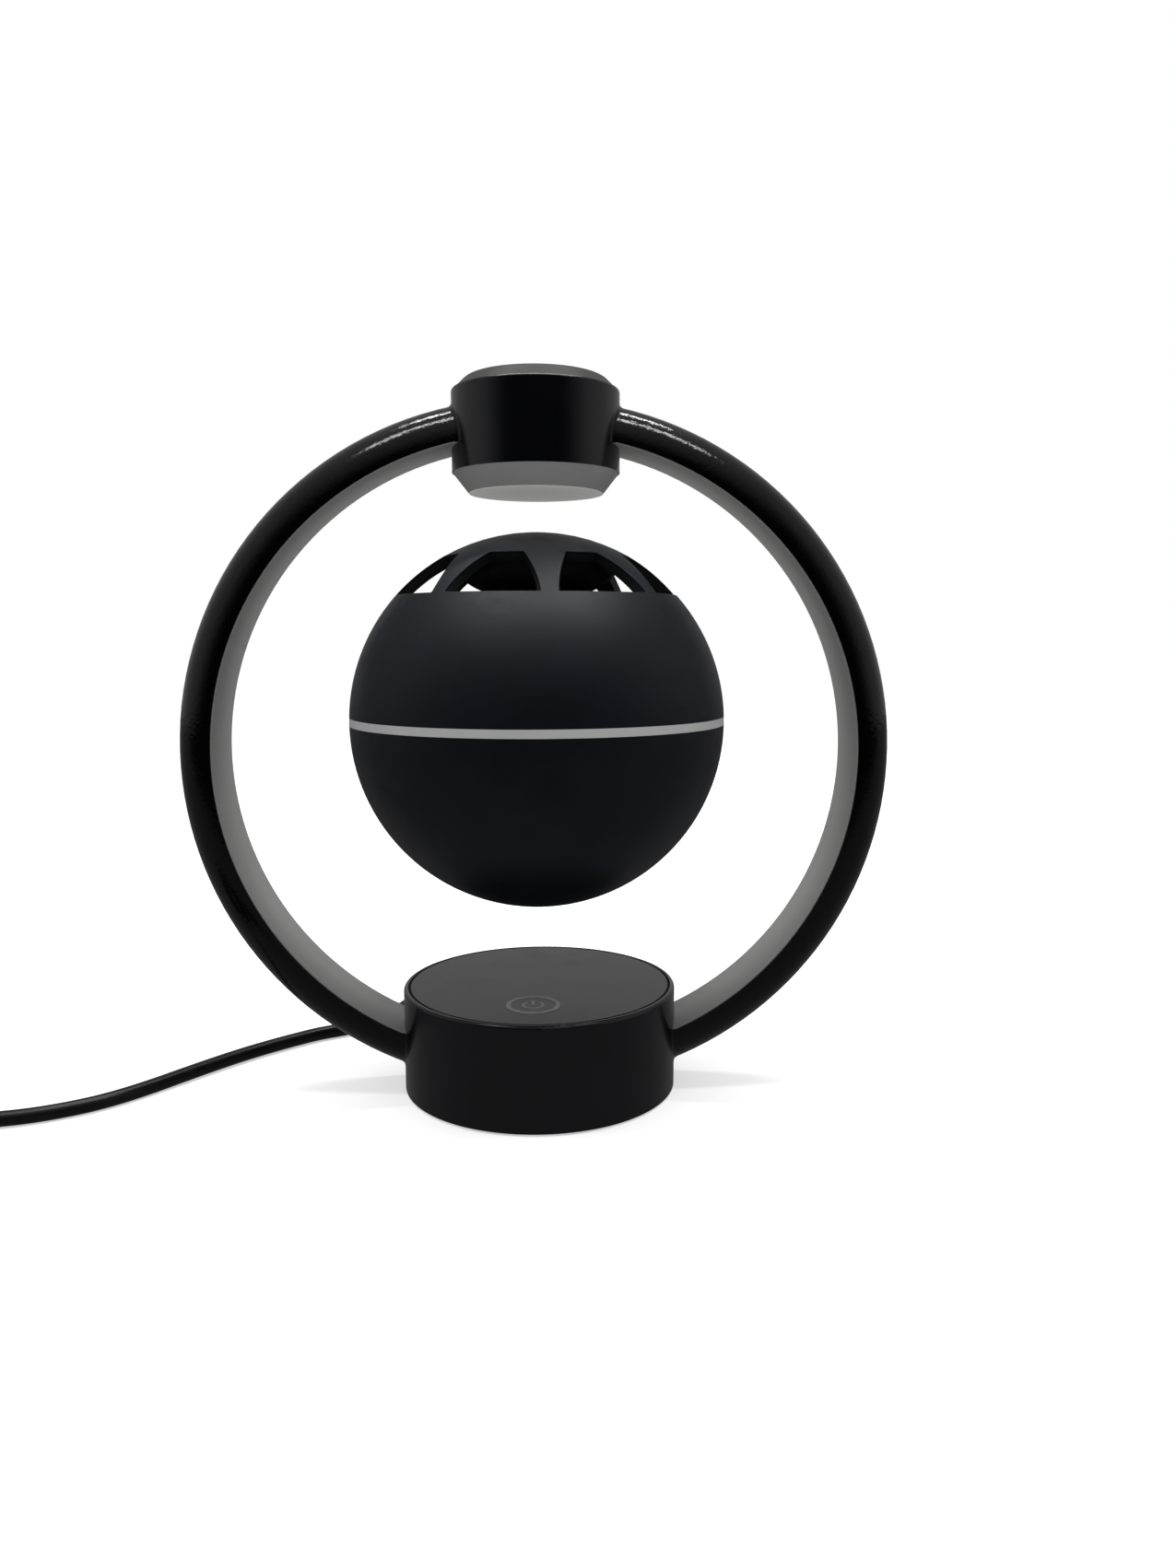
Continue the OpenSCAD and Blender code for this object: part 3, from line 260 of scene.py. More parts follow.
def piece(name, body, slot, points, faces, replaces=(), crease=CREASE, uv=None, look=None):
    """Makes an object at the origin from points and blocks of faces, and lets it ride on a body."""
    mesh = bpy.data.meshes.new(name)
    corners = [face for block in faces for face in np.asarray(block).tolist()]
    mesh.from_pydata(np.asarray(points).reshape(-1, 3).tolist(), [], corners)
    if uv is not None:
        layer = mesh.uv_layers.new(name="surface")
        index = np.empty(len(mesh.loops), dtype=np.int32)
        mesh.loops.foreach_get("vertex_index", index)
        layer.uv.foreach_set("vector", np.asarray(uv, dtype=np.float32).reshape(-1, 2)[index].ravel())
    work = bmesh.new()
    work.from_mesh(mesh)
    bmesh.ops.remove_doubles(work, verts=work.verts, dist=WELD)
    bmesh.ops.dissolve_degenerate(work, edges=work.edges, dist=WELD)
    work.to_mesh(mesh)
    work.free()
    mesh.polygons.foreach_set("use_smooth", np.ones(len(mesh.polygons), dtype=bool))
    mesh.set_sharp_from_angle(angle=math.radians(crease))
    made = add_object(name, mesh)
    mesh.materials.append(finish(look or slot))
    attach(made, body)
    if replaces:
        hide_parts(*replaces)
    return made


def circle(steps, shift=0.0):
    """Points (cos a, sin a) spread evenly round a circle, moved on by a share of a step."""
    angle = (np.arange(steps) + shift) * 2 * np.pi / steps
    return join(*polar(1, angle))


def arch(half, height, sunk, steps):
    """A low arch, (half cos a, height sin a), whose ends go straight down below the surface."""
    angle = np.linspace(0, np.pi, steps)
    x, z = half * np.cos(angle), height * np.sin(angle)
    return join([half, *x, -half], [-sunk, *z, -sunk])


def turn_profile(profile, centre=(0, 0, 0), steps=96):
    """A closed outline of (radius, height) turned round Z: x = r cos a, y = r sin a, z = h."""
    radius, height = np.asarray(profile, dtype=float).T[:, :, None]
    x, y = circle(steps).T[:, None, :]
    points = join(radius * x, radius * y, height)
    return points + np.asarray(centre), torus(len(points), steps)


def sweep(path, across, up, outline):
    """Carries a closed outline of (a, b) offsets along a path: point = path + a * across + b * up."""
    a, b = np.asarray(outline, dtype=float).T[:, None, :, None]
    points = path[:, None, :] + a * across[:, None, :] + b * up[:, None, :]
    return points, tube(*points.shape[:2])


def box_loft(x, half_y, half_z, corner, middle):
    """Rounded rectangles along X: centre of the corner + r (cos a, sin a), in each station's sizes."""
    x, half_y, half_z, corner = (v[:, None] for v in np.broadcast_arrays(x, half_y, half_z, corner))
    out_y, out_z = circle(steps=72, shift=0.5).T
    y = np.sign(out_y) * (half_y - corner) + corner * out_y
    z = np.sign(out_z) * (half_z - corner) + corner * out_z
    points = join(x, y, z) + middle
    return points, tube(*points.shape[:2])


def unit(vectors):
    """Vectors of length 1 along the last axis."""
    return vectors / np.linalg.norm(vectors, axis=-1, keepdims=True)


def ease(x):
    """Smooth step from 0 to 1: 3 x^2 - 2 x^3."""
    x = np.clip(x, 0, 1)
    return x * x * (3 - 2 * x)


def waves(run, start, length, count):
    """Round grooves along a run: sin^2(count pi share), with the share from 0 to 1 over the length."""
    return np.sin(count * np.pi * np.clip((run - start) / length, 0, 1)) ** 2


def fall(past, radius):
    """How far a rounded edge falls back: r - sqrt(r^2 - d^2), at the distance d past its start."""
    return radius - np.sqrt(np.maximum(0, radius ** 2 - np.maximum(0, past) ** 2))


def bend(a, b, c, t):
    """A curve from a to c that leaves and arrives towards b: (1 - t)^2 a + 2 t (1 - t) b + t^2 c."""
    return (1 - t) ** 2 * a + 2 * t * (1 - t) * b + t ** 2 * c


# Shared effects, as node groups

def add_node(tree, kind, values=None, **settings):
    """Adds a shader node: settings go on the node, values on its inputs, where a socket becomes a link."""
    made = tree.nodes.new("ShaderNode" + kind)
    for key, value in settings.items():
        setattr(made, key, value)
    for key, value in (values or {}).items():
        if isinstance(value, bpy.types.NodeSocket):
            tree.links.new(value, made.inputs[key])
        else:
            made.inputs[key].default_value = value
    return made


def texture(tree, kind, vector, scale, values=None, **settings):
    """The outputs of a procedural texture."""
    values = {"Vector": vector, "Scale": scale, **(values or {})}
    return add_node(tree, "Tex" + kind, values, **settings).outputs


def maths(tree, operation, a, b=0.0, c=0.0):
    """One arithmetic step on values or sockets."""
    return add_node(tree, "Math", {0: a, 1: b, 2: c}, operation=operation).outputs[0]


def vectors(tree, operation, *values):
    """One step on vectors."""
    return add_node(tree, "VectorMath", dict(enumerate(values)), operation=operation).outputs


def part_of(tree, vector, axis):
    """One component of a vector."""
    return add_node(tree, "SeparateXYZ", {0: vector}).outputs[axis]


def spread(tree, value, low, high, to_low=0.0, to_high=1.0):
    """Maps a value smoothly from one range to another."""
    values = {"Value": value, 1: low, 2: high, 3: to_low, 4: to_high}
    return add_node(tree, "MapRange", values, interpolation_type="SMOOTHSTEP").outputs[0]


def effect(name, inputs, outputs):
    """A new effect group with a Vector input, number inputs with their defaults, and number outputs."""
    tree = bpy.data.node_groups.new(name, "ShaderNodeTree")
    tree.interface.new_socket("Vector", in_out="INPUT", socket_type="NodeSocketVector")
    for label, default in inputs.items():
        made = tree.interface.new_socket(label, in_out="INPUT", socket_type="NodeSocketFloat")
        made.default_value = default
    for label in outputs:
        tree.interface.new_socket(label, in_out="OUTPUT", socket_type="NodeSocketFloat")
    return tree, tree.nodes.new("NodeGroupInput").outputs, tree.nodes.new("NodeGroupOutput").inputs


def moulded_grain():
    """Fine moulded texture and the slow change of tone under it."""
    tree, given, made = effect("moulded_grain", {"Grains": 2500.0, "Patches": 60.0}, ("Height", "Tone"))
    fine = texture(tree, "Noise", given["Vector"], given["Grains"])["Fac"]
    slow = {"Detail": 4.0, "Roughness": 0.6}
    tone = texture(tree, "Noise", given["Vector"], given["Patches"], slow)["Fac"]
    tree.links.new(fine, made["Height"])
    tree.links.new(spread(tree, tone, 0.3, 0.7), made["Tone"])


def orange_peel():
    """The ripple of thick gloss paint: a slow wave with a finer one on it."""
    tree, given, made = effect("orange_peel", {"Ripples": 900.0}, ("Height",))
    broad = texture(tree, "Noise", given["Vector"], given["Ripples"], {"Detail": 1.0})["Fac"]
    fine = texture(tree, "Noise", given["Vector"], maths(tree, "MULTIPLY", given["Ripples"], 3.3))["Fac"]
    tree.links.new(maths(tree, "MULTIPLY_ADD", fine, 0.35, broad), made["Height"])


def handling_marks():
    """Faint smudges where hands have been."""
    tree, given, made = effect("handling_marks", {"Marks": 45.0}, ("Mask",))
    smear = {"Detail": 5.0, "Roughness": 0.62, "Distortion": 0.8}
    mark = texture(tree, "Noise", given["Vector"], given["Marks"], smear)["Fac"]
    tree.links.new(spread(tree, mark, 0.48, 0.72), made["Mask"])


def fine_dust():
    """Specks of dust on faces that look upwards."""
    tree, given, made = effect("fine_dust", {"Specks": 700.0, "Cover": 0.12}, ("Mask",))
    cell = texture(tree, "Voronoi", given["Vector"], given["Specks"])
    speck = spread(tree, cell["Distance"], 0.22, 0.08)
    pick = add_node(tree, "SeparateColor", {"Color": cell["Color"]}).outputs["Red"]
    chosen = maths(tree, "LESS_THAN", pick, given["Cover"])
    facing = add_node(tree, "NewGeometry").outputs["Normal"]
    upward = spread(tree, part_of(tree, facing, "Z"), 0.2, 0.9)
    tree.links.new(maths(tree, "MULTIPLY", maths(tree, "MULTIPLY", speck, chosen), upward), made["Mask"])


EFFECTS = {make.__name__: make for make in (moulded_grain, orange_peel, handling_marks, fine_dust)}


class Finish:
    """A material with one Principled shader, its texture coordinates and the steps that feed it."""

    def __init__(self, name):
        material = bpy.data.materials.new(name + "_finish")
        material.use_nodes = True
        self.name = name
        self.tree = material.node_tree
        self.shader = self.tree.nodes["Principled BSDF"]
        place = add_node(self.tree, "TexCoord").outputs
        self.spot = place["Object"]
        self.uv = place["UV"]

    def set(self, socket, value):
        """Sets one of the shader's sockets to a fixed value."""
        self.shader.inputs[socket].default_value = value

    def effect(self, name, **values):
        """Places a shared effect, built at its first use, and gives its outputs."""
        if name not in bpy.data.node_groups:
            EFFECTS[name]()
        values["Vector"] = self.spot
        return add_node(self.tree, "Group", values, node_tree=bpy.data.node_groups[name]).outputs

    def feed(self, socket, value):
        """Links a value to one of the shader's sockets."""
        self.tree.links.new(value, self.shader.inputs[socket])

    def fed(self, socket):
        """What feeds one of the shader's sockets so far."""
        return self.shader.inputs[socket].links[0].from_socket

    def mix(self, factor, a, b):
        """A colour between a and b."""
        values = {0: factor}
        for key, colour in ((6, a), (7, b)):
            values[key] = colour if isinstance(colour, bpy.types.NodeSocket) else (*colour, 1)
        return add_node(self.tree, "Mix", values, data_type="RGBA").outputs[2]

    def paint(self, factor, a, b):
        """Base colour between a and b."""
        self.feed("Base Color", self.mix(factor, a, b))

    def rough(self, low, high, **values):
        """Roughness from low where it is clean to high where it was handled; gives the mask."""
        mask = self.effect("handling_marks", **values)["Mask"]
        self.feed("Roughness", maths(self.tree, "MULTIPLY_ADD", mask, high - low, low))
        return mask

    def bump(self, height, depth):
        """A relief of that depth in micrometres."""
        relief = add_node(self.tree, "Bump", {"Height": height, "Distance": depth * 1e-6})
        self.feed("Normal", relief.outputs[0])


def tinted(colour, factor):
    """A colour made lighter or darker."""
    return [min(1.0, channel * factor) for channel in colour]


# Moulded finishes: roughness where clean and where handled, specular level, grains to the metre,
# relief in micrometres, change of tone, and the share of the dust's cells that hold a speck
MOULDED = {
    "satin_black": (0.2, 0.28, 0.62, 2500, 3, 1.35, 0.03),
    "soft_black": (0.48, 0.56, 0.42, 3200, 5, 1.35, 0),
    "smoked_plate": (0.26, 0.3, 0.42, 1500, 0.2, 1.05, 0),
    "key_grey": (0.4, 0.5, 0.2, 5000, 2, 1.1, 0),
    "frosted_grey": (0.42, 0.52, 0.08, 3500, 6, 1.05, 0),
    "cap_grey": (0.42, 0.52, 0.08, 3500, 6, 1.05, 0),
    "cover_grey": (0.42, 0.52, 0.15, 3500, 6, 1.05, 0),
    "pale_lens": (0.35, 0.45, 0.3, 3000, 3, 1.04, 0),
    "dark_plastic": (0.5, 0.6, 0.3, 1400, 20, 1.35, 0),
    "silicone": (0.65, 0.8, 0.25, 1800, 10, 1.5, 0),
    "ferrite": (0.6, 0.75, 0.4, 1200, 30, 1.4, 0),
    "pressed_steel": (0.35, 0.5, 0.5, 1500, 10, 1.35, 0),
    "paper": (0.7, 0.85, 0.2, 2200, 40, 1.6, 0),
    "cell_wrap": (0.25, 0.4, 0.5, 260, 150, 1.15, 0),
    "lead_black": (0.28, 0.42, 0.3, 1600, 12, 1.35, 0.05),
}

# Between which depths or heights a finish changes: under the ball's face, inside the touch plate's edge,
# where a black band is painted shade of the groove, and above the head's underside, which gets painted
# light
COAT_END = (0.0008, 0.0004)
GROOVE_SHADE_START = (0.00055, 0.0004)
PAINTED_LIGHT_END = (0.00008, 0.00003)
# Scale of the bands for windings and threads that lie 0.5 mm apart
FINE_BANDS = 314.0


def moulded(made, colours):
    """Moulded plastic: fine grain, slow change of tone, smudges that dull it, and a little dust."""
    clean, handled, specular, grains, relief, vary, cover = MOULDED[made.name]
    colour = getattr(colours, made.name)
    made.set("Specular IOR Level", specular)
    grain = made.effect("moulded_grain", Grains=grains)
    made.paint(grain["Tone"], tinted(colour, 1 / vary), tinted(colour, vary))
    if cover:
        made.paint(made.effect("fine_dust", Cover=cover)["Mask"], made.fed("Base Color"), colours.dust)
    made.rough(clean, handled)
    made.bump(grain["Height"], relief)


def gloss_black(made, colours):
    """Thick gloss paint of the ring, with its ripple."""
    made.set("Specular IOR Level", 0.4)
    marks = made.rough(0.1, 0.18, Marks=30.0)
    made.paint(marks, colours.gloss_black, tinted(colours.gloss_black, 1.8))
    made.bump(made.effect("orange_peel")["Height"], 50)


def soft_black(made, colours):
    """Soft matte coat of the ball, and bare plastic deeper than the coat."""
    moulded(made, colours)
    radius = vectors(made.tree, "DISTANCE", made.spot, (0, 0, BALL_Z))["Value"]
    coat = spread(made.tree, radius, BALL_R - COAT_END[0], BALL_R - COAT_END[1])
    made.paint(coat, colours.bare_black, made.fed("Base Color"))


def smoked_plate(made, colours):
    """Dark acrylic of the touch plate, with painted shade: a matte black band inside its edge stands in for
    the shade in the groove round the plate.
    """
    moulded(made, colours)
    level = vectors(made.tree, "MULTIPLY", made.spot, (1, 1, 0))[0]
    radius = vectors(made.tree, "LENGTH", level)["Value"]
    # Painted shade: a black band inside the plate's edge, where the groove's shade falls
    groove_shade = spread(made.tree, radius, PLATE_R - GROOVE_SHADE_START[0], PLATE_R - GROOVE_SHADE_START[1])
    made.paint(groove_shade, made.fed("Base Color"), colours.border_black)
    made.feed("Roughness", maths(made.tree, "MAXIMUM", made.fed("Roughness"), groove_shade))


def frosted_grey(made, colours):
    """Frosted plastic of the light strips, with painted light: its base colour runs lighter towards the
    back, standing in for light from behind.
    """
    moulded(made, colours)
    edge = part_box("arm_diffuser_right")[1][1]
    # Painted light: the strip's colour goes from darker at the front to lighter at the back
    through = spread(made.tree, part_of(made.tree, made.spot, "Y"), -edge, edge)
    made.paint(through, tinted(colours.frosted_grey, 0.74), tinted(colours.frosted_grey, 1.36))


def cover_grey(made, colours):
    """Frosted plastic under the head, with painted light: its flat underside gets a near-white colour that
    stands in for light from below.
    """
    moulded(made, colours)
    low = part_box("head_lower_cover")[0][2]
    height = part_of(made.tree, made.spot, "Z")
    # Painted light: this mask picks the flat underside for the near-white colour
    window = spread(made.tree, height, low + PAINTED_LIGHT_END[0], low + PAINTED_LIGHT_END[1])
    made.paint(window, made.fed("Base Color"), colours.window_white)


def steel(made, colours):
    """Plated steel with fine lines drawn round it, closer along Z."""
    made.set("Metallic", 1.0)
    lines = vectors(made.tree, "MULTIPLY", made.spot, (1, 1, 6))[0]
    streak = texture(made.tree, "Noise", lines, 900.0, {"Detail": 3.0})["Fac"]
    made.paint(streak, tinted(colours.steel, 0.8), tinted(colours.steel, 1.1))
    made.rough(0.25, 0.38)
    made.bump(streak, 4)


def copper(made, colours):
    """Enamelled wire, laid turn by turn: rings 0.5 mm apart along Z."""
    made.set("Metallic", 1.0)
    turns = texture(made.tree, "Wave", made.spot, FINE_BANDS, bands_direction="Z")["Fac"]
    made.paint(turns, tinted(colours.copper, 0.35), colours.copper)
    made.rough(0.25, 0.4)
    made.bump(turns, 100)


def board_green(made, colours):
    """Solder mask with tracks under it and tinned pads."""
    made.set("Specular IOR Level", 0.4)
    black, white = (0, 0, 0, 1), (1, 1, 1, 1)
    mortar = {"Mortar Size": 0.06, "Color1": black, "Color2": black, "Mortar": white}
    tracks = texture(made.tree, "Brick", made.spot, 220.0, mortar)["Fac"]
    green = made.mix(tracks, colours.board_green, tinted(colours.board_green, 1.9))
    pads = spread(made.tree, texture(made.tree, "Voronoi", made.spot, 260.0)["Distance"], 0.2, 0.14)
    made.paint(pads, green, colours.tin)
    made.feed("Metallic", pads)
    made.rough(0.3, 0.45)


def strip_white(made, colours):
    """White film of a light strip, with the solder points along it."""
    made.set("Specular IOR Level", 0.4)
    dots = spread(made.tree, texture(made.tree, "Voronoi", made.spot, 240.0)["Distance"], 0.22, 0.15)
    made.paint(dots, colours.strip_white, colours.solder)
    made.rough(0.4, 0.55)


def webbing(made, colours):
    """Woven tie: over and under in 0.5 mm steps along and across its own UV."""
    made.set("Specular IOR Level", 0.2)
    weave = [texture(made.tree, "Wave", made.uv, FINE_BANDS, bands_direction=way)["Fac"] for way in "XY"]
    cloth = maths(made.tree, "MULTIPLY", *weave)
    made.paint(cloth, tinted(colours.webbing, 0.4), tinted(colours.webbing, 1.6))
    made.rough(0.75, 0.9)
    made.bump(cloth, 120)


OWN_STEPS = {make.__name__: make for make in (
    gloss_black, soft_black, smoked_plate, frosted_grey, cover_grey, steel, copper, board_green,
    strip_white, webbing)}


def finish(name):
    """The finish of that name, made at its first use; the frame's own materials bear the slots' names."""
    if name + "_finish" not in bpy.data.materials:
        OWN_STEPS.get(name, moulded)(Finish(name), bpy.context.scene.lamp_colours)
    return bpy.data.materials[name + "_finish"]


def dress(*nodes, look=None):
    """Gives CAD nodes the finish of their slot in the record, or a finish of that family."""
    for node in nodes:
        mesh = frame["nodes"][node].data
        mesh.materials.clear()
        mesh.materials.append(finish(look or SLOT_OF[node]))


# The stage

# Name, place behind the lamp's axis and length of each lamp overhead
LAMPS = (("lamp_above", -0.12, 1.0), ("lamp_back", 0.28, 0.7))
LAMP_HEIGHT = 0.95
LAMP_WIDTH = 0.06
SENSOR = 36.0
NEAREST = 0.005
FLOOR_REACH = 12.0
# Between which directions and places the things change that gloss sees
FRONT = (-0.85, -0.15)
BEHIND = (0.8, 0.95)
OVERHEAD = (0.3, 0.95)
FLOOR_FRONT = (-0.45, -0.1)
FLOOR_AWAY = (0.22, 0.45)
WHITE = (1, 1, 1, 1)


def set_camera(scene, studio):
    """Looks to the back, turned to the right by the yaw, down by the pitch, about its axis by the roll."""
    data = bpy.data.cameras.new("camera")
    data.lens = studio.lens
    data.sensor_width = SENSOR
    data.clip_start = NEAREST
    camera = add_object("camera", data)
    place = Matrix.Translation(studio.eye)
    for angle, axis in ((-studio.yaw, "Z"), (math.pi / 2 - studio.pitch, "X"), (studio.roll, "Z")):
        place = place @ Matrix.Rotation(angle, 4, axis)
    camera.matrix_world = place
    scene.camera = camera


def set_lamps(scene, studio):
    """Two long lamps overhead, turned to the object."""
    for name, y, length in LAMPS:
        data = bpy.data.lights.new(name, "AREA")
        data.shape = "RECTANGLE"
        data.size = length
        data.size_y = LAMP_WIDTH
        data.energy = studio.key_power
        lamp = add_object(name, data)
        lamp.location = (0, y, LAMP_HEIGHT)
        lamp.rotation_euler = (math.atan2(y, LAMP_HEIGHT - BALL_Z), 0, 0)


def own_nodes(owner):
    """The emptied node tree of a material or world, and masks of what the eye sees and what gloss sees."""
    owner.use_nodes = True
    tree = owner.node_tree
    tree.nodes.clear()
    light = add_node(tree, "LightPath").outputs
    eye = maths(tree, "MAXIMUM", light["Is Camera Ray"], light["Is Transmission Ray"])
    return tree, eye, light["Is Glossy Ray"]


def set_surroundings(scene, studio):
    """White for the eye and a plain soft light.

    Gloss sees a half-bright ceiling, pale sides, a back wall and a dim front.
    """
    world = bpy.data.worlds.new("surroundings")
    tree, eye, gloss = own_nodes(world)
    way = add_node(tree, "TexCoord").outputs["Generated"]
    way = add_node(tree, "SeparateXYZ", {0: way}).outputs
    veil = spread(tree, way["Y"], *FRONT, studio.dim, studio.panels)
    veil = maths(tree, "MAXIMUM", veil, spread(tree, way["Y"], *BEHIND, 0.0, studio.back))
    veil = maths(tree, "MAXIMUM", veil, spread(tree, way["Z"], *OVERHEAD, 0.0, studio.ceiling))
    shown = maths(tree, "MAXIMUM", veil, eye)
    seen = maths(tree, "MAXIMUM", eye, gloss)
    room, backdrop = (
        add_node(tree, "Background", {"Strength": strength, "Color": WHITE}).outputs[0]
        for strength in (studio.room_light, shown))
    both = add_node(tree, "MixShader", {0: seen, 1: room, 2: backdrop}).outputs[0]
    add_node(tree, "OutputWorld", {"Surface": both})
    world.cycles.sampling_method = "NONE"
    scene.world = world


def lay_floor(scene, studio):
    """A pale floor that shows white to the eye and keeps the shadow.

    Gloss sees it a little lit near by and at the back, and dim in front.
    """
    material = bpy.data.materials.new("pale_floor")
    tree, eye, gloss = own_nodes(material)
    place = add_node(tree, "NewGeometry").outputs["Position"]
    away = vectors(tree, "LENGTH", place)["Value"]
    far = spread(tree, part_of(tree, place, "Y"), *FLOOR_FRONT, studio.dim, studio.table)
    lit = maths(tree, "MULTIPLY", spread(tree, away, *FLOOR_AWAY, studio.table, far), gloss)
    glow = maths(tree, "MULTIPLY_ADD", eye, studio.floor_lift, lit)
    glow = add_node(tree, "Emission", {"Strength": glow}).outputs[0]
    tone = maths(tree, "MULTIPLY_ADD", gloss, -studio.floor_tone, studio.floor_tone)
    matte = add_node(tree, "BsdfDiffuse", {"Color": tone}).outputs[0]
    both = add_node(tree, "AddShader", {0: matte, 1: glow}).outputs[0]
    add_node(tree, "OutputMaterial", {"Surface": both})
    material.cycles.emission_sampling = "NONE"
    mesh = bpy.data.meshes.new("floor")
    corners = np.array([(-1, -1, 0), (1, -1, 0), (1, 1, 0), (-1, 1, 0)]) * FLOOR_REACH
    mesh.from_pydata(corners.tolist(), [], [(0, 1, 2, 3)])
    mesh.materials.append(material)
    floor = add_object("floor", mesh)


# The lead, with plugs and tie

SPAN_STEPS = 4
TURN_STEPS = 48
TAIL_STEPS = 12
TAIL_L = 0.013
TIE_CORNER = 0.0022
# Plugs: steps along them, gap to the drum, length over which the body narrows, radius of the strain
# relief from end to end, rounding of the edges, start, length and number of the grip's grooves, and
# start, spared length and number of the strain relief's cuts
PLUG_STEPS = 241
PLUG_GAP = 0.0003
PLUG_FADE = 0.0025
PLUG_RELIEF = (0.0036, 0.00235)
PLUG_EDGE = 0.0006
PLUG_GRIP = (0.003, 0.0055, 4)
PLUG_CUTS = (0.0006, 0.0014, 5)
USB_RELIEF = (0.0024, 0.0034)
USB_EDGE = 0.0012
USB_GRIP = (0.005, 0.0095, 5)
USB_CUTS = (0.0006, 0.0008, 3)
# Steel shell and tongue: roundings, root in the grip, distance from the mouth, and play
USB_ROUND = 0.0007
SHELL_ROOT = 0.001
TONGUE_SET = 0.001
TONGUE_EDGE = 0.0003
TONGUE_ROUND = 0.0002
TONGUE_PLAY = 0.0001


def lead_path(sizes):
    """The lead's centreline.

    The free stretch is a curve through the chosen points. Between b and c, with a before and d after,
    p = (2 b + (c - a) t + (2 a - 5 b + 4 c - d) t^2 + (3 b - a - 3 c + d) t^3) / 2.
    The coil is a spiral, r = low + pitch |turn - middle|, that climbs a layer where it turns back
    outwards. The tail runs straight on and comes down beside the turns.
    """
    route = np.array(LEAD_ROUTE)
    wide = np.vstack([2 * route[0] - route[1], route, 2 * route[-1] - route[-2]])
    a, b, c, d = (wide[i:len(route) - 1 + i, None] for i in range(4))
    t = np.linspace(0, 1, SPAN_STEPS, endpoint=False)[:, None]
    square, cube = 2 * a - 5 * b + 4 * c - d, 3 * b - a - 3 * c + d
    free = (2 * b + (c - a) * t + square * t ** 2 + cube * t ** 3) / 2
    turn = np.linspace(0, sizes.coil_turns, int(sizes.coil_turns * TURN_STEPS) + 1)
    middle = sizes.coil_turns / 2
    radius = sizes.coil_r + sizes.coil_pitch * (np.abs(turn - middle) - middle)
    angle = np.pi / 2 + 2 * np.pi * turn
    climb = sizes.coil_pitch * ease(2 * (turn - middle) + 0.5)
    coil = join(*polar(radius, angle), climb) + route[-1] - [sizes.lead_d, sizes.coil_r, 0]
    plug_low, plug_high = np.array(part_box("usb_plug"))
    x, y, z = coil[-1]
    drop = np.linspace(0, 1, TAIL_STEPS + 1)[1:]
    tail_x = np.append(x + TAIL_L * drop, plug_low[0])
    tail_z = z + ((plug_low + plug_high)[2] / 2 - z) * ease(np.append(drop, 1))
    tail = join(tail_x, y, tail_z)
    return np.vstack([free.reshape(-1, 3), route[-1:], coil, tail])


def make_lead(sizes, ends):
    """A round tube along the centreline."""
    path = lead_path(sizes)
    along = unit(np.gradient(path, axis=0))
    across = unit(np.cross(along, [0, 0, 1]))
    points, faces = sweep(path, across, np.cross(across, along), circle(steps=16) * sizes.lead_d / 2)
    lead = piece("lead", "stand", "lead_black", points, faces, replaces=("power_cord", "cord_coil"))


def make_lamp_plug(sizes):
    """The plug at the drum, a profile turned about Y.

    Its radius is full along the body, less the depth times sin^2 over the grip rings. It eases down to
    the strain relief, a cone to the lead's radius, less the same depth over the cuts.
    """
    low, high = np.array(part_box("power_plug"))
    start = DRUM_R + PLUG_GAP
    run = np.linspace(0, high[1] - start, PLUG_STEPS)
    body, last = sizes.plug_body, run[-1]
    first, spare, count = PLUG_CUTS
    cuts = waves(run - body, first, last - body - spare, count)
    cone = np.interp(run, [body, last], PLUG_RELIEF) - sizes.groove * cuts
    thick = (high - low)[0] / 2 - fall(PLUG_EDGE - run, PLUG_EDGE) - sizes.groove * waves(run, *PLUG_GRIP)
    radius = thick + (cone - thick) * ease((run - body) / PLUG_FADE + 1)
    bore, sleeve = sizes.plug_pin, sizes.plug_sleeve
    socket_end = [(0, start), (bore, start), (bore, low[1]), (sleeve, low[1]), (sleeve, start)]
    outline = np.vstack([socket_end, join(radius, start + run), [(0, high[1])]])
    points, faces = turn_profile(outline, steps=64)
    points = points[..., [0, 2, 1]] * [1, 1, -1] + [0, 0, (low + high)[2] / 2]
    return piece("lamp_plug", "stand", "lead_black", points, faces, replaces=("power_plug",))


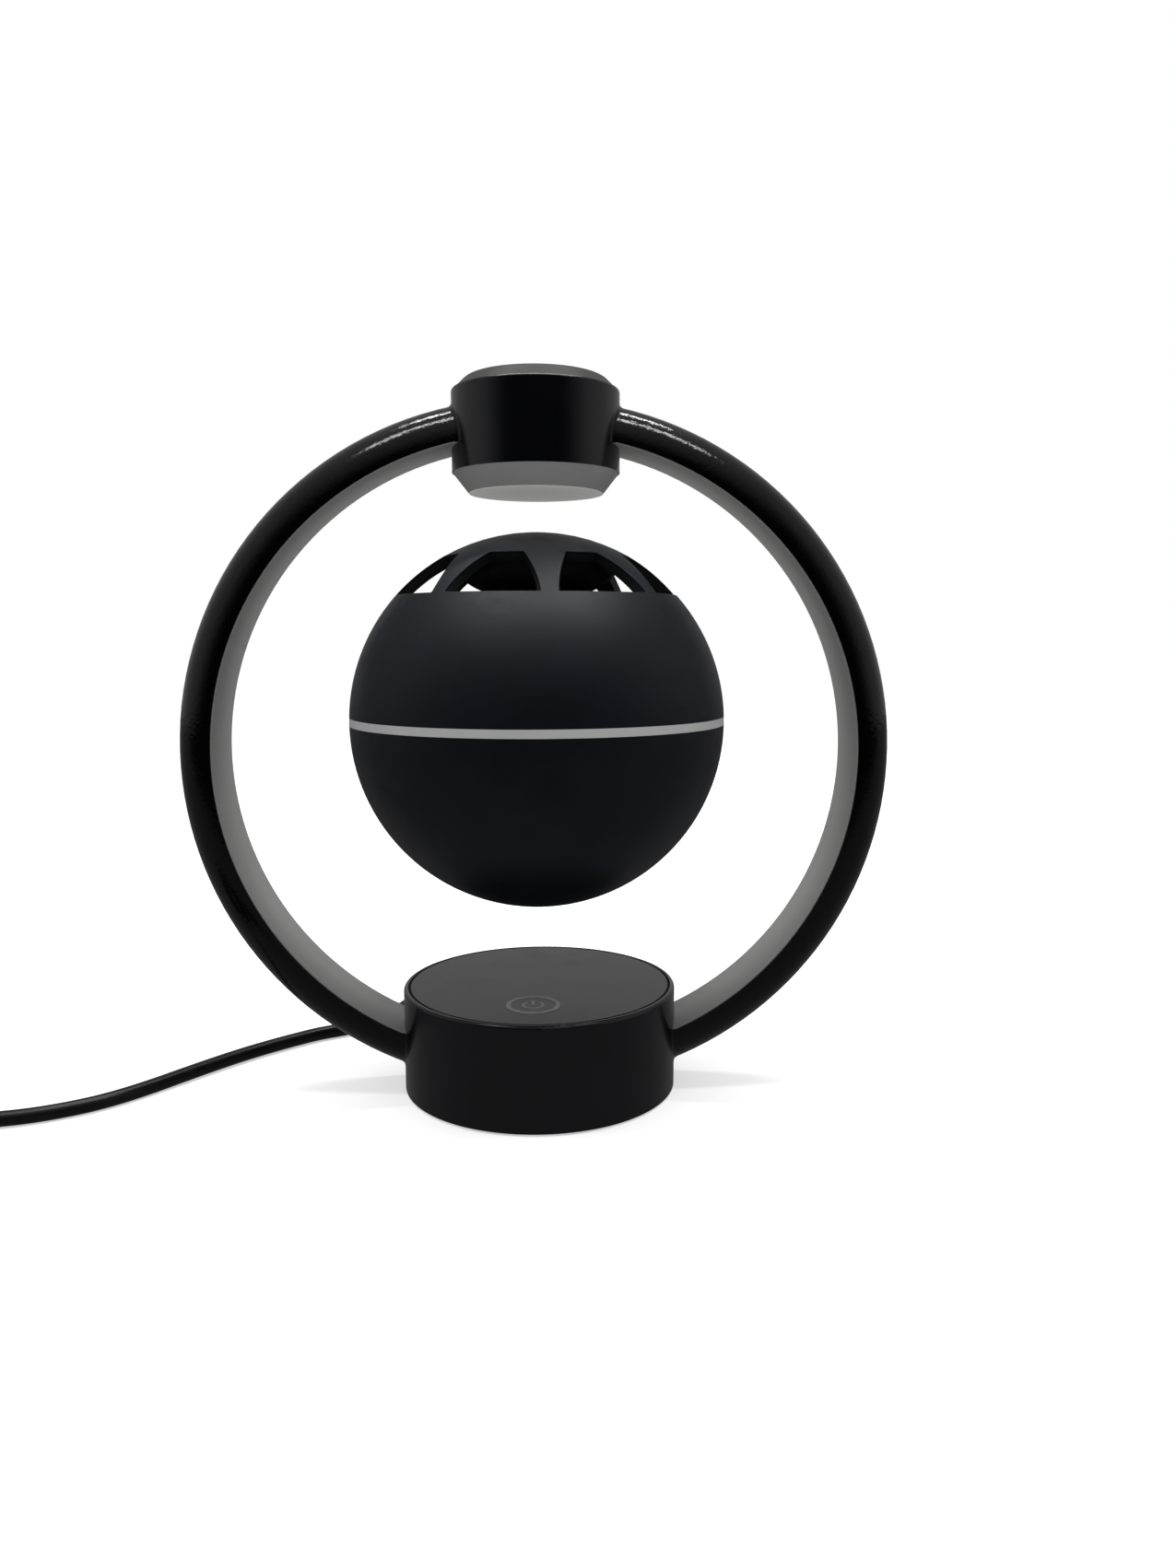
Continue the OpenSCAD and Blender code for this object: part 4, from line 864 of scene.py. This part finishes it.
def make_usb_plug(sizes):
    """The plug at the lead's far end: a grip with a strain relief, the steel shell and its tongue."""
    low, high = np.array(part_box("usb_plug"))
    middle = np.array([low[0], *(low + high)[1:] / 2])
    tip, half_y, half_z = (high - low) * [1, 0.5, 0.5]
    relief, end = sizes.usb_relief, sizes.usb_relief + sizes.usb_body
    run = np.linspace(0, end, PLUG_STEPS)
    first, spare, count = USB_CUTS
    cone = np.interp(run, [0, relief], USB_RELIEF) - sizes.groove * waves(run, first, relief - spare, count)
    edge = fall(USB_EDGE + np.maximum(relief - run, run - end), USB_EDGE)
    thick = run > relief
    grip_y = np.where(thick, half_y - edge - sizes.groove * waves(run - relief, *USB_GRIP), cone)
    grip_z = np.where(thick, half_z - edge, cone)
    corner = np.where(thick, sizes.usb_corner - edge / 2, cone)
    points, faces = box_loft(run, grip_y, grip_z, corner, middle)
    made = [piece("usb_grip", "stand", "lead_black", points, faces, replaces=("usb_plug",))]
    wall, half_y, half_z = sizes.usb_wall, sizes.usb_w / 2, sizes.usb_h / 2
    inset = np.array([0, 0, 0.25, 0.75, 1, 1]) * wall
    mouth = tip - wall / 4
    x = np.array([end - SHELL_ROOT, mouth, tip, tip, mouth, end + SHELL_ROOT])
    points, faces = box_loft(x, half_y - inset, half_z - inset, USB_ROUND - inset, middle)
    made.append(piece("usb_shell", "stand", "steel", points, faces))
    deep = (half_z - wall) / 2 - TONGUE_PLAY
    inset = np.array([0, 0, TONGUE_EDGE])
    x = np.array([end, tip - TONGUE_SET - TONGUE_ROUND, tip - TONGUE_SET])
    middle = middle - [0, 0, deep + TONGUE_ROUND]
    points, faces = box_loft(x, half_y - wall - inset, deep - inset, TONGUE_ROUND, middle)
    made.append(piece("usb_tongue", "stand", "dark_plastic", points, faces))
    return made


def make_tie(sizes):
    """A flat band carried round a rectangle with round corners: centre of the corner + r (cos a, sin a)."""
    low, high = np.array(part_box("cord_tie"))
    out = np.insert(circle(steps=64, shift=0.5), 1, 0, axis=1)
    path = (low + high) / 2 + np.sign(out) * ((high - low) / 2 - TIE_CORNER) + TIE_CORNER * out
    t, w = sizes.tie_t, sizes.tie_w / 2
    outline = np.array([(-w, -t), (-w + t / 2, 0), (w - t / 2, 0), (w, -t)])
    points = path[:, None, :] + outline[:, :1] * [0, 1, 0] + outline[:, 1:] * out[:, None, :]
    step = np.linalg.norm(path - np.roll(path, 1, axis=0), axis=1)
    uv = join(outline[None, :, 0], np.cumsum(step)[:, None])
    faces = [block[:, ::-1] for block in torus(*points.shape[:2])]
    return piece("lead_tie", "stand", "webbing", points, faces, replaces=("cord_tie",), uv=uv)


# The ball's crown

RIB_STEPS = 8
WINDOW_STEPS = 18
FOOT_ROWS = 19
ZONE_ROWS = 12
CAP_ROWS = 7
FLANK_ROWS = 8
# How far the inside follows the sphere above the windows, as an angle, and the sound spreader's swell
# and lip, outwards from the boss and up from its foot
FLANK_TURN = 0.02
SWELL = (0.0056, 0.0031)
LIP = (-0.0003, 0.0006)


def rib_columns(sizes, radius, height, draft):
    """Longitudes at each height, rib by rib.

    A rib is w = low + (high - low) share^power wide, where share runs from 0 at the sill to 1 at the
    window head, so its edges lie at asin((w / 2 + draft) / radius) on both sides of its middle. The
    columns are spread evenly over each rib and over each window between two ribs.
    """
    share = (height - sizes.window_low) / (sizes.window_high - sizes.window_low)
    width = sizes.rib_low + (sizes.rib_high - sizes.rib_low) * np.clip(share, 0, 1) ** sizes.rib_power
    edge = np.arcsin((width / 2 + draft) / radius)[:, None]
    sector = 2 * np.pi / sizes.rib_count
    rib = np.linspace(-1, 1, RIB_STEPS, endpoint=False) * edge
    window = edge + np.linspace(0, 1, WINDOW_STEPS, endpoint=False) * (sector - 2 * edge)
    first = np.hstack([rib, window])
    turns = sector * np.arange(sizes.rib_count) + sizes.rib_turn - np.pi / 2
    return (turns[None, :, None] + first[:, None, :]).reshape(len(height), -1)


def crown_wall(sizes, radius, head, top, rest=(), draft=0.0):
    """One face of the shell as a grid: below the windows, along them, up to the slope top, then rest."""
    foot, sill = np.arcsin([CROWN_FOOT / radius, sizes.window_low / radius])
    slope = np.concatenate([np.linspace(foot, sill, FOOT_ROWS, endpoint=False),
                            np.linspace(sill, head, ZONE_ROWS, endpoint=False),
                            np.linspace(head, top, CAP_ROWS + 1)])
    r, z = polar(radius, slope)
    guide_z = np.clip(z, sizes.window_low, math.sin(head) * radius)
    longitude = rib_columns(sizes, np.sqrt(radius ** 2 - guide_z ** 2), guide_z, draft)
    rest = np.array(rest, dtype=float).reshape(-1, 2)
    r, z = np.append(r, rest[:, 0])[:, None], np.append(z, rest[:, 1])[:, None]
    longitude = np.vstack([longitude, np.repeat(longitude[-1:], len(rest), axis=0)])
    return join(*polar(r, longitude), BALL_Z + z)


def make_crown(sizes):
    """The upper shell: two spheres joined at the foot and round every window.

    The window's head is a cone through the ball's middle, so it cuts both spheres at the same slope.
    From there the inside turns into the flank that spreads the sound, a curve down to the boss.
    """
    inner_r = BALL_R - sizes.shell_wall
    head = math.asin(sizes.window_high / BALL_R)
    turn = head + FLANK_TURN
    boss = np.array([BOSS_R, BOSS_FOOT])
    start = np.array(polar(inner_r, turn))
    t = np.linspace(0, 1, FLANK_ROWS + 1)[1:, None]
    bore_z = math.sqrt(inner_r ** 2 - BOSS_BORE ** 2)
    rest = [*bend(start, boss + SWELL, boss + LIP, t), (BOSS_R + LIP[0], BOSS_FOOT),
            (BOSS_BORE, BOSS_FOOT), (BOSS_BORE, bore_z), (0, inner_r)]
    outside = crown_wall(sizes, BALL_R, head, math.pi / 2)
    inside = crown_wall(sizes, inner_r, head, turn, rest, sizes.rib_draft)
    columns = outside.shape[1]
    out = np.arange(outside.shape[0] * columns).reshape(-1, columns)
    ins = out.size + np.arange(inside.shape[0] * columns).reshape(-1, columns)
    low, high = FOOT_ROWS, FOOT_ROWS + ZONE_ROWS
    across = np.arange(columns)
    after = np.roll(across, -1)
    in_sector = across % (RIB_STEPS + WINDOW_STEPS)
    glazed = in_sector >= RIB_STEPS

    def face(index):
        """The squares of one wall without the windows."""
        rows = np.arange(len(index) - 1)[:, None]
        solid = ~(glazed & (rows >= low) & (rows < high))
        lower, upper = index[:-1], index[1:]
        return join(lower, lower[:, after], upper[:, after], upper)[solid]

    def strip(row, chosen):
        """Squares that join one row of the outside to the same row of the inside."""
        j, k = across[chosen], after[chosen]
        return join(out[row, j], out[row, k], ins[row, k], ins[row, j])

    def side(step):
        """Squares that close the windows along one side of every rib."""
        c = across[in_sector == step]
        row = np.arange(low, high)[:, None]
        return join(out[row, c], ins[row, c], ins[row + 1, c], out[row + 1, c]).reshape(-1, 4)

    faces = [face(out), face(ins)[:, ::-1], strip(0, across)[:, ::-1], strip(low, glazed),
             strip(high, glazed)[:, ::-1], side(RIB_STEPS), side(0)[:, ::-1]]
    points = np.vstack([outside.reshape(-1, 3), inside.reshape(-1, 3)])
    crown = piece("ball_crown", "ball", "soft_black", points, faces, replaces=("ball_upper_shell",))
    bevel = crown.modifiers.new("rounded_edges", "BEVEL")
    bevel.width = sizes.crown_edge
    bevel.segments = 3
    bevel.limit_method = "ANGLE"
    bevel.angle_limit = math.radians(CREASE)
    bevel.harden_normals = True
    bevel.miter_outer = "MITER_ARC"


# The ring's collars

COLLAR_STEPS = 57
CURVE_STEPS = 11
# How deep a collar is rooted in the arm and the wall
COLLAR_ROOT = 0.0006


def make_collar(name, sizes, hand, up, wall_r):
    """Paint in the corner between an arm and a round wall.

    Each line of the half-round section runs at a radius of its own round the ring's middle and meets
    the wall where x = sqrt(wall^2 - y^2). A curve that touches both runs from a point on the arm to a
    point on the wall, each one collar's width from there.
    """
    turn = np.linspace(-np.pi / 2, np.pi / 2, COLLAR_STEPS)
    flat, y = np.cos(turn), sizes.arm_depth * np.sin(turn)
    reach = sizes.ring_r + sizes.arm_depth * flat
    shift = ARM_REACH - sizes.ring_r - sizes.arm_depth

    def on_arm(angle):
        """The section's points at that angle of the ring."""
        x, z = polar(reach, angle)
        return join(shift + x, y, sizes.ring_z + up * z)

    meet = np.arccos((np.sqrt(wall_r ** 2 - y ** 2) - shift) / reach)
    corner, arm = on_arm(meet), on_arm(meet - sizes.collar / reach)
    outward = join(flat * np.cos(meet), np.sin(turn), up * flat * np.sin(meet))
    bearing = np.arctan2(corner[:, 1], corner[:, 0])
    sideways = outward[:, 1] * np.cos(bearing) - outward[:, 0] * np.sin(bearing)
    away = sizes.collar * unit(join(sideways, outward[:, 2]))
    bearing = bearing + away[:, 0] / wall_r
    wall = join(*polar(wall_r, bearing), corner[:, 2] + away[:, 1])
    t = np.linspace(0, 1, CURVE_STEPS)[None, :, None]
    skin = bend(arm[:, None], corner[:, None], wall[:, None], t)
    inside = corner - COLLAR_ROOT * (outward + unit(corner * [1, 1, 0]))
    points = np.concatenate([skin, inside[:, None]], axis=1) * [hand, 1, 1]
    faces = tube(*points.shape[:2])
    if hand * up < 0:
        faces = [np.asarray(block)[:, ::-1] for block in faces]
    piece(name, "stand", "gloss_black", points, faces)


# The touch key

# Height of the ring and of the sign's lines, and how deep each is sunk into the plate
KEY_RISE = 0.00025
KEY_SUNK = 0.00005
SIGN_RISE = 0.00007
SIGN_SUNK = 0.00004
# Half the angle that the arc leaves open at the back, and both ends of the bar
SIGN_GAP = math.radians(38)
SIGN_BAR = (0.0002, 0.0036)
# Where a line's round end starts, as a share of half its width
LINE_END = 0.02


def stroke(path, width):
    """A low arch along a flat path with round ends, where the width is w sqrt(1 - (1 - 2 d / w)^2)."""
    steps = np.linalg.norm(np.diff(path, axis=0), axis=1)
    run = np.append(0, np.cumsum(steps))
    near = np.clip(np.minimum(run, run[-1] - run) / (width / 2), LINE_END, 1)
    half = width / 2 * np.sqrt(1 - (1 - near) ** 2)
    across = np.cross(unit(np.gradient(path, axis=0)), [0, 0, 1]) * half[:, None]
    up = np.tile([0.0, 0.0, 1.0], (len(path), 1))
    return sweep(path, across, up, arch(1, SIGN_RISE, SIGN_SUNK, steps=7))


def make_key(sizes):
    """A raised ring with an arch for a section, and the power sign inside it."""
    centre = np.array([sizes.key_x, -sizes.key_y, PLATE_TOP])
    half = sizes.key_line / 2
    outline = arch(half, KEY_RISE, KEY_SUNK, steps=9) + [sizes.key_r - half, 0]
    angle = np.pi / 2 + np.linspace(SIGN_GAP, 2 * np.pi - SIGN_GAP, num=64)
    arc = join(*polar(sizes.sign_r, angle), 0)
    bar = np.linspace(*SIGN_BAR, num=24)[:, None] * [0, 1, 0]
    made = {"touch_key_ring": turn_profile(outline, centre),
            "power_sign_arc": stroke(arc + centre, sizes.sign_line),
            "power_sign_bar": stroke(bar + centre, sizes.sign_line)}
    for name, (points, faces) in made.items():
        piece(name, "stand", "smoked_plate", points, faces, crease=60, look="key_grey")


# The operators

class LAMP_OT_stage(bpy.types.Operator):
    """Sets the camera, the lamps, the white surroundings and the floor"""

    bl_idname = "lamp.stage"
    bl_label = "Stage"

    def execute(self, context):
        context.scene.view_settings.view_transform = "Standard"
        for step in (set_camera, set_lamps, set_surroundings, lay_floor):
            step(context.scene, context.scene.lamp_studio)
        return {"FINISHED"}


class LAMP_OT_lead(bpy.types.Operator):
    """Makes the lead with its coil, its tie and both plugs"""

    bl_idname = "lamp.lead"
    bl_label = "Lead"

    def execute(self, context):
        sizes = context.scene.lamp_sizes
        make_lead(sizes, [make_lamp_plug(sizes), *make_usb_plug(sizes), make_tie(sizes)])
        return {"FINISHED"}


class LAMP_OT_ball(bpy.types.Operator):
    """Makes the ball's crown and dresses its shells, stripe and button"""

    bl_idname = "lamp.ball"
    bl_label = "Ball"

    def execute(self, context):
        dress("ball_lower_shell", "ball_light_ring", "ball_power_button", "ball_charge_socket")
        make_crown(context.scene.lamp_sizes)
        return {"FINISHED"}


class LAMP_OT_ring(bpy.types.Operator):
    """Dresses the ring and its light strips, and makes the collars at the head and the drum"""

    bl_idname = "lamp.ring"
    bl_label = "Ring"

    def execute(self, context):
        dress("arm_channel_left", "arm_channel_right", "arm_diffuser_left", "arm_diffuser_right",
              "arm_led_strip_left", "arm_led_strip_right")
        sizes = context.scene.lamp_sizes
        for side, hand in (("right", 1), ("left", -1)):
            make_collar("collar_head_" + side, sizes, hand, 1, BAND_R)
            make_collar("collar_drum_" + side, sizes, hand, -1, DRUM_R)
        return {"FINISHED"}


class LAMP_OT_head(bpy.types.Operator):
    """Dresses the magnet head and what is inside it"""

    bl_idname = "lamp.head"
    bl_label = "Head"

    def execute(self, context):
        dress("head_band", "electromagnet_core", "electromagnet_bobbin", "electromagnet_coil",
              "hall_sensor_board", "head_screws")
        dress("head_top_cap", look="cap_grey")
        dress("head_lower_cover", look="cover_grey")
        return {"FINISHED"}


class LAMP_OT_base(bpy.types.Operator):
    """Dresses the drum base and makes the touch key"""

    bl_idname = "lamp.base"
    bl_label = "Base"

    def execute(self, context):
        dress("base_shell", "base_top_plate", "touch_sensor_board", "base_bottom_cover", "base_foot_pads",
              "base_screws", "base_weight", "base_circuit_board", "dc_socket")
        make_key(context.scene.lamp_sizes)
        return {"FINISHED"}


class LAMP_OT_inside(bpy.types.Operator):
    """Dresses the speaker and the electronics inside the ball"""

    bl_idname = "lamp.inside"
    bl_label = "Inside of the ball"

    def execute(self, context):
        dress("levitation_magnet", "magnet_cap", "speaker_baffle", "driver_frame", "driver_cone",
              "driver_magnet", "ball_screws", "ball_circuit_board", "ball_battery", "ball_led_board")
        return {"FINISHED"}


STEPS = (LAMP_OT_stage, LAMP_OT_lead, LAMP_OT_ball, LAMP_OT_ring, LAMP_OT_head, LAMP_OT_base,
         LAMP_OT_inside)


class LAMP_PT_sidebar(bpy.types.Panel):
    """Lists the steps that build the lamp"""

    bl_idname = "LAMP_PT_sidebar"
    bl_label = "Levitating Speaker Lamp"
    bl_space_type = "VIEW_3D"
    bl_region_type = "UI"
    bl_category = "Lamp"

    def draw(self, context):
        for step in STEPS:
            self.layout.operator(step.bl_idname)


CLASSES = (LampSizes, LampColours, LampStudio, *STEPS, LAMP_PT_sidebar)


def register():
    for kind in CLASSES:
        bpy.utils.register_class(kind)
    bpy.types.Scene.lamp_sizes = PointerProperty(type=LampSizes)
    bpy.types.Scene.lamp_colours = PointerProperty(type=LampColours)
    bpy.types.Scene.lamp_studio = PointerProperty(type=LampStudio)


def unregister():
    del bpy.types.Scene.lamp_studio, bpy.types.Scene.lamp_colours, bpy.types.Scene.lamp_sizes
    for kind in reversed(CLASSES):
        bpy.utils.unregister_class(kind)


def main():
    """Builds the lamp step by step."""
    register()
    for step in STEPS:
        group, name = step.bl_idname.split(".")
        getattr(getattr(bpy.ops, group), name)()


if __name__ == "__main__":
    main()
